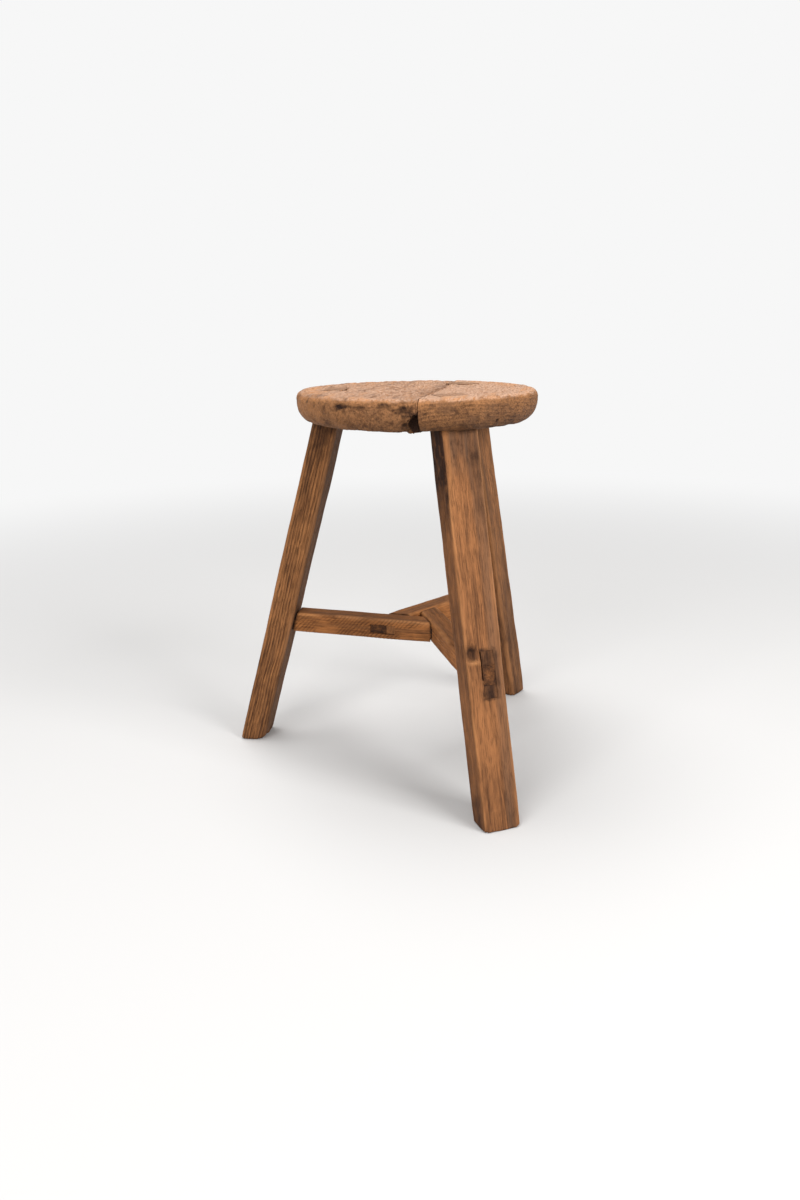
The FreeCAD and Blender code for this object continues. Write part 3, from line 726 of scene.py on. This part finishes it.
# Dents and small knots, by the leg's own measures: along the rim, outwards, level, size, depth.
LEG_DENTS = {
    "front": ((-14, 16, 186, 6.2, 4.6), (12, 16, 396, 4.5, 1.2), (8, 16, 388, 3.5, 0.7),
              (15, 16, 378, 4, 0.6), (-9, 16, 24, 3, 0.5), (3, 16, 345, 4, 0.3)),
    "left": ((21, 2, 186, 3, 0.9), (21, -5, 180, 2.5, 0.9), (21, 5, 158, 3, 0.9),
             (21, -2, 268, 3, 0.7), (21, 3, 230, 3, 0.5), (-4, 16, 300, 4, 0.9), (8, 16, 90, 4, 0.8)),
    "right": ((-21, 3, 300, 4, 0.7), (-21, -4, 92, 4, 0.7), (4, 16, 250, 5, 0.9), (-9, 16, 330, 4, 0.7),
              (-2, -16, 330, 4, 0.8)),
}
LEG_HEARTS = {"front": (70, 62, 300), "left": (38, 92, 1200), "right": (64, 70, 2100)}
LEG_RIDGES = {"front": 0.10, "left": 0.30, "right": 0.18}


def leg_grain(name, points):
    """Up the leg, along the rim and outwards, from the heart of its tree."""
    place = to_leg(name, points)
    heart_across, heart_out, start = LEG_HEARTS[name]
    return np.stack([place[:, 2] + start, place[:, 0] + heart_across, place[:, 1] + heart_out], axis=-1)


def dent(name, place):
    """The strongest of the leg's dents, as a share of its depth, and its depth in millimetres."""
    share, depth = np.zeros(len(place)), np.zeros(len(place))
    for across, outwards, level, size, deep in LEG_DENTS[name]:
        away = (place - (across, outwards, level)) / (size, size, size * 1.25)
        near = bump(np.sqrt((away ** 2).sum(-1)), 1)
        share, depth = np.maximum(share, near), np.maximum(depth, near * deep)
    return share, depth


def leg_height(name, points):
    """Hand-planed faces that wander, grain raised in long ridges, and dents."""
    place = to_leg(name, points)
    grain = leg_grain(name, points)
    on_body = step(seat_bottom - place[:, 2], -1.0, 1.0)
    height = 0.55 * cloud(grain, (90, 24, 24), 101) + 0.22 * cloud(grain, (26, 9, 9), 103)
    height += LEG_RIDGES[name] * cloud(grain, (130, 3.1, 3.1), 105)
    height -= 0.35 * step(cloud(grain, (60, 2.6, 2.6), 107), 0.55, 0.8)
    height -= dent(name, place)[1]
    if name == "front":
        lip = (place - (-13, 16, 177)) / (7, 7, 2.2)
        height += 1.3 * bump(np.sqrt((lip ** 2).sum(-1)), 1)
        scratch = bump(place[:, 2] - 352 - 0.1 * place[:, 0], 0.9) * step(place[:, 0], -14, -10)
        height -= 0.35 * scratch * step(15 - place[:, 0], 0, 5)
    return height * on_body * step(place[:, 2], -0.5, 4)


def leg_marks(name, points):
    """Rubbed arrises, with a painted highlight along the front leg's right arris and a partly painted one on a
    dent's lip; painted shade under the seat and on the sides turned from the light; grime at the foot and round the
    joints; a grey bloom on the outer face; bare, dark end grain at both ends."""
    place = to_leg(name, points)
    across, outwards, level = place.T
    grain = leg_grain(name, points)
    half_width, half_depth = LEG_WIDTH / 2, LEG_DEPTH / 2
    edge = edge_distance(across, outwards, half_width, half_depth)
    rubbed = bump(edge, 2.6) * step(rough(grain, (45, 60, 60), 111), -0.9, 0.3)
    streaky = step(rough(grain, (110, 7, 7), 113), -0.1, 1.0)
    # Painted shade: each leg darkens towards the seat above it, most in the last centimetre under it.
    shade_under_seat = step(level, 330, 412)
    grime_and_shade = 0.45 * shade_under_seat ** 2 + 0.30 * streaky
    grime_and_shade = np.maximum(grime_and_shade, 0.75 * step(level, 404, 414))
    grime_and_shade = np.maximum(grime_and_shade, 0.85 * step(3.2 + 1.5 * rough(grain, (9, 9, 9), 115) - level, 0, 3))
    grime_and_shade = np.maximum(grime_and_shade, 0.5 * bump(level, 26) * step(rough(grain, (40, 6, 6), 117), -0.2, 0.8))
    grime_and_shade = grime_and_shade + 0.2 * step(160 - level, 0, 110)
    grey = 0.25 * streaky
    if name == "front":
        outer = step(outwards, half_depth - 4, half_depth - 1)
        dull = step(across + 2.5 * rough(grain, (70, 20, 20), 119), 3, 9)
        head = step(level + 12 * rough(grain, (14, 9, 9), 121), 366, 392) * step(across, -15, -12)
        grey = outer * np.maximum(0.75 * dull, head)
        grime_and_shade = grime_and_shade * (1 - 0.6 * outer * step(-across, -2, 8)) + 0.35 * outer * dull * streaky
        # Painted shade: the front leg's left face darkens as if turned from the light, most under the seat and near
        # the foot.
        shaded_left_face = step(half_depth - np.abs(outwards) - (half_width + across), -1.5, 1.5)
        grime_and_shade = np.maximum(grime_and_shade, shaded_left_face * (0.3 + 1.15 * step(level, 285, 388)
                                               + 0.5 * step(70 - level, 0, 70)))
        planed = step(level, 315, 385) * bump(across + 16.5, 3.6) * outer
        rubbed = np.maximum(rubbed, 0.5 * planed)
        # Partly painted highlight: a lighter, rubbed lip line below the big dent.
        rubbed = np.maximum(rubbed, 1.6 * outer * bump(level - 177, 2.2) * bump(across + 13, 7))
        stain = bump(across - 12.5, 3) * step(level, 146, 152) * step(190 - level, 0, 8)
        grime_and_shade = np.maximum(grime_and_shade, 0.8 * outer * stain)
        scuffed = head * step(rough(points, (5, 5, 9), 127, 4), 0.0, 0.7)
        grime_and_shade = np.maximum(grime_and_shade, outer * np.maximum(0.4 * step(level, 350, 400), 0.8 * scuffed))
        grime_and_shade = grime_and_shade * (1 - 0.85 * planed)
        # Painted highlight: a pale line along the front leg's right outer arris.
        right_arris_highlight = bump(np.hypot(half_width - across, half_depth - outwards), 2.4)
        rubbed = np.maximum(rubbed, 1.1 * right_arris_highlight)
        grime_and_shade = grime_and_shade * (1 - 0.8 * right_arris_highlight)
    if name == "left":
        # Painted shade, with a grey bloom, on the inner face, turned in under the seat.
        shaded_inner_face = step(-outwards, half_depth - 4, half_depth - 1)
        grey = np.maximum(grey, 0.8 * shaded_inner_face)
        grime_and_shade = np.maximum(grime_and_shade, 0.45 * shaded_inner_face)
        # Painted shade: the left leg's face towards the front darkens, most under the seat.
        shaded_near_face = step(across, half_width - 3.5, half_width - 1)
        grime_and_shade = np.maximum(grime_and_shade, shaded_near_face * (0.3 + 0.25 * streaky + 0.6 * step(level, 350, 408)))
    if name == "right":
        # Painted shade on the inner face, turned in under the seat.
        shaded_inner_face = step(-outwards, half_depth - 4, half_depth - 1)
        grime_and_shade = np.maximum(grime_and_shade, 0.35 * shaded_inner_face) + 0.2 * streaky
        grey = np.maximum(grey, 0.6 * step(-across, half_width - 3.5, half_width - 1))
    joint = np.hypot(np.maximum(np.abs(across - 3.6) - 7.5, 0),
                     np.maximum(np.abs(level - 163) - 25, 0))
    joint = np.maximum(joint + 1.6 * rough(points, 5, 125), 0)
    tight = 0.65 + 0.45 * step(4 - across, 0, 8)
    grime_and_shade = np.maximum(grime_and_shade, tight * bump(joint, 1.9) * step(outwards, half_depth - 2, half_depth))
    share, depth = dent(name, place)
    grime_and_shade = np.maximum(grime_and_shade, (1.2 if name == "front" else 0.6) * depth / 3 * (1 - 0.45 * share ** 4))
    end = step(level, seat_height - 6, seat_height - 2)
    grime_and_shade = grime_and_shade * (1 - end) + end * 0.22 * step(rough(points, 6, 123), 0.1, 0.9)
    return rubbed * (1 - end), grime_and_shade, grey * (1 - end), end


def quad(across, outwards, levels):
    """The four corners of an upright end across a leg: two places along the rim, and for each of
    two levels a distance outwards."""
    (left, right), (low, high) = across, levels
    return [(left, outwards, low), (right, outwards, low), (right, outwards, high),
            (left, outwards, high)]


def mortise_plugs(name):
    """What is cut out of a leg: the flared mortise for its stretcher's tenon, on the front leg a gap beside the
    tenon where the wood has shrunk, and the kerf for the wedge at the top."""
    middle, half = STRETCHER_TENON
    sides = (middle - half - 0.25, middle + half + 0.12)
    low, high = TENON_LEVELS
    depth = LEG_DEPTH / 2 * np.hypot(1, leg_frame(name)[3])
    flare = (low - WEDGE_HEADS[0] - 0.2, high + WEDGE_HEADS[1] + 0.2)
    reach = 3 * depth
    spread = (reach - depth) / (2 * depth)
    wide = (flare[0] - spread * WEDGE_HEADS[0], flare[1] + spread * WEDGE_HEADS[1])
    plugs = [prism(from_leg(name, quad(sides, -depth, (low - 0.3, high + 0.3))),
                   from_leg(name, quad(sides, reach, wide)), (1, 1)),
             prism(from_leg(name, quad(sides, -depth - 2, (low - 0.3, high + 0.3))),
                   from_leg(name, quad(sides, 0, (low - 0.3, high + 0.3))), (1, 1))]
    if name == "front":
        gap = (sides[0] - 1.2, sides[0] + 1)
        plugs.append(prism(from_leg(name, quad(gap, depth - 7, (158, 186))),
                           from_leg(name, quad(gap, depth + 3, (157, 188))), (1, 1)))
    head, toe, length = KERF
    top = seat_height - RECESS
    wide = TENON[0] + 2
    kerf = [[(-wide, -thick / 2 - 0.1, level), (wide, -thick / 2 - 0.1, level),
             (wide, thick / 2 + 0.1, level), (-wide, thick / 2 + 0.1, level)]
            for thick, level in ((toe, top - length), (head * 1.1, top + 3))]
    plugs.append(prism(from_leg(name, kerf[0]), from_leg(name, kerf[1]), (1, 1)))
    return [weld("tool", [plug]) for plug in plugs]


leg_elm = {
    "front": old_elm("old_elm_front_leg", early="#96623a", late="#643f24", bare="#9a7a62", veil="#664b38",
                     spacing=6, lines=0.12, streaks=1.3, fibres=2.2, mottle=1.0, blotch=1.6, relief=0.7),
    "left": old_elm("old_elm_left_leg", early="#a36d40", late="#5b371d", bare="#9a7a62", veil="#664b38",
                    spacing=3.1, lines=0.95, streaks=1.0, fibres=1.8, mottle=0.5, blotch=1.0, relief=1.2),
    "right": old_elm("old_elm_right_leg", early="#a06a3f", late="#5b381e", bare="#9a7a62", veil="#664b38",
                     spacing=3.4, lines=0.4, streaks=1.6, fibres=1.8, mottle=0.7, blotch=1.5, relief=0.8),
}

for leg in LEGS:
    piece = weld(f"worn_leg_{leg}", [leg_sheet(leg)])
    weather(piece, lambda points: leg_height(leg, points))
    work(piece, mortise_plugs(leg))
    finish_piece(piece, leg_elm[leg], lambda points: leg_grain(leg, points),
                 lambda points: leg_marks(leg, points))
    stand_in(piece, f"leg_{leg}")


# ---- leg wedges -----------------------------------------------------------------------------
# A thin wedge of split elm driven down into the end of each leg's tenon, then pared flush. It
# shows as a pale line across the dark end grain.

wedge_elm = old_elm("split_elm_wedge", early="#80522e", late="#4c2d18", bare="#a5846b", veil="#66503f",
                    spacing=2.2, lines=0.4, streaks=2.0, fibres=1.6, mottle=1.2, blotch=1.0, relief=0.8)

for leg in LEGS:
    head, toe, length = KERF
    top = seat_height - RECESS + 0.3
    wide = TENON[0] - 0.3
    ends = [[(-wide, -thick / 2, level), (wide, -thick / 2, level),
             (wide, thick / 2, level), (-wide, thick / 2, level)]
            for thick, level in ((toe, top - length), (head, top))]
    piece = weld(f"worn_leg_wedge_{leg}", [prism(*(from_leg(leg, end) for end in ends), (14, 16), 0.3)])
    weather(piece, lambda points: 0.12 * cloud(points, 4, 131))
    finish_piece(piece, wedge_elm, lambda points: leg_grain(leg, points),
                 lambda points: (0, 0.1 + 0.15 * cloud(points, 5, 133), 0, 0.9))
    stand_in(piece, f"leg_{leg}_wedge")


# ---- stretchers -----------------------------------------------------------------------------
# Three square bars of the same elm. Each is tenoned through its leg, ends against the side of
# the next one and passes a flat tongue through it, so that they turn round a small triangle.

STRETCHER_WIDTH = 25
STRETCHER_TURN = np.radians(7.2)         # from its leg's direction
STRETCHER_OFFSET = 18.8                  # its centre line from the stool's axis
TONGUE = (-5.0, 12.5)                    # its sides, across the stretcher
TONGUE_LEVELS = (STRETCHER_LEVEL + 6.5, STRETCHER_LEVEL + 17)
SIDE_WEDGE = (8.0, 11.0)                 # the wedge beside it, where it enters and comes out
NEXT = {"left": "front", "front": "right", "right": "left"}
BEFORE = {after: before for before, after in NEXT.items()}


def bar_frame(name):
    """A stretcher's directions outwards along its length and to its left, and its line's start."""
    out = leg_frame(name)[0]
    angle = np.arctan2(out[1], out[0]) - STRETCHER_TURN
    along = np.array([np.cos(angle), np.sin(angle), 0])
    left = np.array([-along[1], along[0], 0])
    return along, left, axis + STRETCHER_OFFSET * left


def from_bar(name, places):
    """Points given by a stretcher's own measures (outwards, to the left, level)."""
    along, left, start = bar_frame(name)
    places = np.asarray(places, float)
    return start + places[..., :1] * along + places[..., 1:2] * left + places[..., 2:] * (0, 0, 1)


def to_bar(name, points):
    """The stretcher's own measures of some points."""
    along, left, start = bar_frame(name)
    inside = points - start
    return np.stack([inside @ along, inside @ left, points[:, 2]], axis=-1)


def next_side(name, across, side):
    """Where the next stretcher's near (+1) or far (-1) side crosses this one, at y = across."""
    along, next_along = bar_frame(name)[0], bar_frame(NEXT[name])[0]
    turned = np.arctan2(along[0] * next_along[1] - along[1] * next_along[0], along @ next_along)
    reach = (across + STRETCHER_OFFSET) * np.cos(turned) - STRETCHER_OFFSET
    return (reach + side * STRETCHER_WIDTH / 2) / np.sin(turned)


def leg_face(name, across, level):
    """Where the leg's inner face stops the stretcher."""
    out, along_rim, radius, slope = leg_frame(name)
    face = radius - slope * level - LEG_DEPTH / 2 * np.hypot(1, slope)
    return (face - (STRETCHER_OFFSET + across) * np.sin(STRETCHER_TURN)) / np.cos(STRETCHER_TURN)


def bar_sheet(name):
    """A stretcher as one grid of rings from the side of the next stretcher to its leg. A ring's
    points share out the length between the two slanting ends; the ends are closed flat."""
    half = np.array([STRETCHER_WIDTH / 2, (STRETCHER_TOP - STRETCHER_LEVEL) / 2])
    middle = (STRETCHER_TOP + STRETCHER_LEVEL) / 2
    square = rectangle(STRETCHER_WIDTH, STRETCHER_WIDTH, 0.9)
    share = np.linspace(0, 1, 200)
    corner = np.sign(square)
    place = np.stack([share[:, None] * 190 + 0 * corner[:, 0], (corner[:, 0] * 3 + corner[:, 1]) * 40
                      + 0 * share[:, None], 0 * share[:, None] + 0 * corner[:, 0]], axis=-1)
    radius = 2.0 + 0.9 * cloud(place, (24, 1, 1), 141) + (corner[:, 1] > 0) * 0.8
    facet = np.full(radius.shape, 2.0)
    rings, _ = soften(np.broadcast_to(square * half, (len(share), *square.shape)), half, radius, facet)
    cap = np.linspace(0, 1, 9, endpoint=False)[:, None, None]
    rings = np.concatenate([rings[0] * cap, rings, (rings[-1] * cap)[::-1]])
    share = np.concatenate([np.zeros(9), share, np.ones(9)])[:, None]
    across, level = rings[..., 0], rings[..., 1] + middle
    start, end = next_side(name, across, 1) + 1.9, leg_face(name, across, level) - 2.4
    return from_bar(name, np.stack([start + (end - start) * share, across, level], axis=-1))


def bar_end(name, sides, levels, place):
    """Four corners of something that passes through a stretcher's end, at place(y)."""
    (right, left), (low, high) = sides, levels
    return from_bar(name, [(place(right), right, low), (place(left), left, low),
                           (place(left), left, high), (place(right), right, high)])


def bar_grain(name, points):
    """Along the stretcher, across it and up, from the heart of its tree."""
    return to_bar(name, points) + {"left": (400, 48, -90), "front": (900, 60, -70),
                                   "right": (1500, 30, -95)}[name]


def bar_height(name, points):
    """Faces a little out of true, saw marks climbing across the left stretcher's outer side, and
    raised grain."""
    place = to_bar(name, points)
    grain = bar_grain(name, points)
    height = 0.45 * cloud(grain, (60, 18, 18), 151) + 0.2 * cloud(grain, (18, 6, 6), 153)
    height += 0.16 * cloud(grain, (90, 2.6, 2.6), 155)
    if name == "right":
        knot = (place - (66, -STRETCHER_WIDTH / 2, STRETCHER_LEVEL)) / (14, 8, 8)
        height += 4.4 * bump(np.sqrt((knot ** 2).sum(-1)), 1)
    outer = step(place[:, 1], STRETCHER_WIDTH / 2 - 2, STRETCHER_WIDTH / 2 - 0.5)
    climb = (place[:, 0] + place[:, 2]) / np.sqrt(2) + 1.5 * cloud(points, 14, 157)
    sawn = outer * step(cloud(points, 22, 160), -0.5, 0.1)
    return height - 0.45 * sawn * np.maximum(np.cos(climb / 3.6 * 2 * np.pi), 0) ** 2


def bar_marks(name, points):
    """Rubbed upper arrises, grime in the saw marks and on the end grain, and painted shade where it meets its leg
    and the next stretcher, and underneath.
    """
    place = to_bar(name, points)
    along, across, level = place.T
    grain = bar_grain(name, points)
    half = STRETCHER_WIDTH / 2
    middle = (STRETCHER_TOP + STRETCHER_LEVEL) / 2
    edge = edge_distance(across, level - middle, half, half)
    upper = step(level, middle, middle + 6)
    rubbed = bump(edge, 3.2) * (0.4 + 0.8 * upper) * step(rough(grain, (30, 40, 40), 161), -0.8, 0.4)
    streaky = step(rough(grain, (80, 6, 6), 163), 0.0, 1.0)
    to_leg_end = leg_face(name, across, level) - along
    to_next = along - next_side(name, across, 1)
    # Painted shade: dark bands in the gaps where the stretcher meets its leg and the next stretcher; the streaks
    # are grime.
    grime_and_shade = 0.3 * streaky + 1.6 * bump(to_leg_end, 3.2)
    grime_and_shade = np.maximum(grime_and_shade, 1.6 * bump(to_next, 2.4))
    # Painted shade on the underside.
    grime_and_shade = np.maximum(grime_and_shade, 0.45 * step(middle - level, half - 2, half))
    climb = (along + level) / np.sqrt(2) + 1.5 * cloud(points, 14, 157)
    sawn = step(across, half - 2, half - 0.5) * step(cloud(points, 22, 160), -0.5, 0.1)
    grime_and_shade = np.maximum(grime_and_shade, 0.8 * sawn * np.maximum(np.cos(climb / 3.6 * 2 * np.pi), 0) ** 2)
    if name == "left":
        grime_and_shade = grime_and_shade + 0.22 * step(100 - along, 0, 45)
    outer_end = step(-to_leg_end, 20, 28)
    tongue_end = step(-to_next, 20, 24)
    end = np.maximum(outer_end, tongue_end)
    grime_and_shade = np.maximum(grime_and_shade, end * (1.05 + 0.2 * rough(points, 5, 165)))
    grey = 0.35 * streaky + 0.5 * step(level, STRETCHER_TOP - 2, STRETCHER_TOP - 0.5)
    return rubbed * (1 - end), grime_and_shade, grey, 0


stretcher_elm = old_elm("old_elm_stretcher", early="#a66a39", late="#643b1c", bare="#a5846b",
                        veil="#6b4f3b", spacing=3.4, lines=0.25, streaks=0.8, fibres=1.2, mottle=0.9,
                        blotch=1.4, relief=0.7)

for leg in LEGS:
    depth = LEG_DEPTH / 2 * np.hypot(1, leg_frame(leg)[3])
    middle, half = STRETCHER_TENON
    sides = (middle - half, middle + half)
    tenon = weld("tenon", [prism(from_leg(leg, quad(sides, -depth - 14, TENON_LEVELS)),
                                 from_leg(leg, quad(sides, depth - 0.3, TENON_LEVELS)), (14, 30), 0.3)])
    tongue = weld("tongue", [prism(
        bar_end(leg, TONGUE, TONGUE_LEVELS, lambda y: next_side(leg, y, 1) + 14),
        bar_end(leg, TONGUE, TONGUE_LEVELS, lambda y: next_side(leg, y, -1) + 0.4), (14, 30), 0.5)])
    for part in (tenon, tongue):
        weather(part, lambda points: 0.18 * cloud(points, 4, 171) - 0.1)
    guest = BEFORE[leg]
    hole = (TONGUE[0] - 0.3, TONGUE[1] + 0.3)
    levels = (TONGUE_LEVELS[0] - 0.3, TONGUE_LEVELS[1] + 0.3)
    tongue_hole = weld("tool", [prism(
        bar_end(guest, hole, levels, lambda y: next_side(guest, y, 1) + 8),
        bar_end(guest, hole, levels, lambda y: next_side(guest, y, -1) - 8), (1, 1))])
    enter, leave = (TONGUE[0] - side - 0.3 for side in SIDE_WEDGE)
    flare = (leave - enter) / 3
    wedge_hole = weld("tool", [prism(
        bar_end(guest, (enter + flare, TONGUE[0] + 2), levels, lambda y: next_side(guest, y, 1) + 8),
        bar_end(guest, (leave - flare, TONGUE[0] + 2), levels, lambda y: next_side(guest, y, -1) - 8),
        (1, 1))])
    piece = weld(f"worn_stretcher_{leg}", [bar_sheet(leg)])
    weather(piece, lambda points: bar_height(leg, points))
    work(piece, [tenon, tongue], "UNION")
    work(piece, [tongue_hole, wedge_hole])
    finish_piece(piece, stretcher_elm, lambda points: bar_grain(leg, points),
                 lambda points: bar_marks(leg, points))
    stand_in(piece, f"stretcher_{leg}")


# ---- stretcher wedges -----------------------------------------------------------------------
# Wedges of split elm: one above and one below each tenon, driven in from the leg's outer face,
# and a flat one beside each tongue.

WEDGE_START = 0.15       # share of the mortise's depth that a wedge stops short of

for leg in LEGS:
    depth = LEG_DEPTH / 2 * np.hypot(1, leg_frame(leg)[3])
    middle, half = STRETCHER_TENON
    sides = (middle - half + 0.1, middle + half - 0.05)
    start = -depth + WEDGE_START * 2 * depth
    low, high = TENON_LEVELS
    for name, levels in (("lower", ((low - WEDGE_START * WEDGE_HEADS[0], low), (low - WEDGE_HEADS[0], low))),
                         ("upper", ((high, high + WEDGE_START * WEDGE_HEADS[1]), (high, high + WEDGE_HEADS[1])))):
        ends = (from_leg(leg, quad(sides, start, levels[0])),
                from_leg(leg, quad(sides, depth - 0.3, levels[1])))
        piece = weld(f"worn_{name}_wedge_{leg}", [prism(*ends, (12, 24), 0.3)])
        weather(piece, lambda points: 0.2 * cloud(points, 4, 181) - 0.1)
        finish_piece(piece, wedge_elm, lambda points: leg_grain(leg, points) + (0, 0, 40),
                     lambda points: (0, 1.0 + 0.2 * rough(points, 5, 183), 0.2, 0))
        stand_in(piece, f"stretcher_{leg}_{name}_wedge")
    edges = [(TONGUE[0] - side, TONGUE[0] - 0.1) for side in SIDE_WEDGE]
    ends = (bar_end(leg, edges[0], TONGUE_LEVELS, lambda y: next_side(leg, y, 1) - 0.5),
            bar_end(leg, edges[1], TONGUE_LEVELS, lambda y: next_side(leg, y, -1) + 0.5))
    piece = weld(f"worn_side_wedge_{leg}", [prism(*ends, (10, 24), 0.4)])
    weather(piece, lambda points: 0.15 * cloud(points, 4, 185) - 0.1)
    finish_piece(piece, wedge_elm, lambda points: bar_grain(leg, points),
                 lambda points: (0.2, 0.05 + 0.1 * rough(points, 5, 187), 0, 0))
    stand_in(piece, f"stretcher_{leg}_side_wedge")


# ---- seat dowels ----------------------------------------------------------------------------
# Three round pegs hidden across the seam. Their CAD shapes are right, and only get their wood:
# riven elm, read straight from object coordinates.

peg_elm = bpy.data.materials.new("riven_elm_peg")
peg_elm.use_nodes = True
peg = peg_elm.node_tree
own = add(peg, "TexCoord").outputs["Object"]
spun = add(peg, "Mapping", {"Vector": own, "Rotation": (0, 0, -SEAM_TURN),
                            "Scale": (1 / 0.0015, 1 / 0.03, 1 / 0.0015)}).outputs[0]
fibres = add(peg, "TexNoise", {"Vector": spun, "Scale": 1.0, "Detail": 3}).outputs["Fac"]
tint = add(peg, "Mix", {0: fibres, 6: linear("#a9784a"), 7: linear("#6d4526")}, data_type="RGBA")
riven = add(peg, "Bump", {"Height": fibres, "Distance": 0.3 * MM})
peg.links.new(tint.outputs[2], peg.nodes["Principled BSDF"].inputs["Base Color"])
peg.links.new(riven.outputs[0], peg.nodes["Principled BSDF"].inputs["Normal"])
peg.nodes["Principled BSDF"].inputs["Roughness"].default_value = 0.7
for name in ("front", "middle", "back"):
    slots = frame["nodes"][f"seat_dowel_{name}"].data.materials
    slots.clear()
    slots.append(peg_elm)
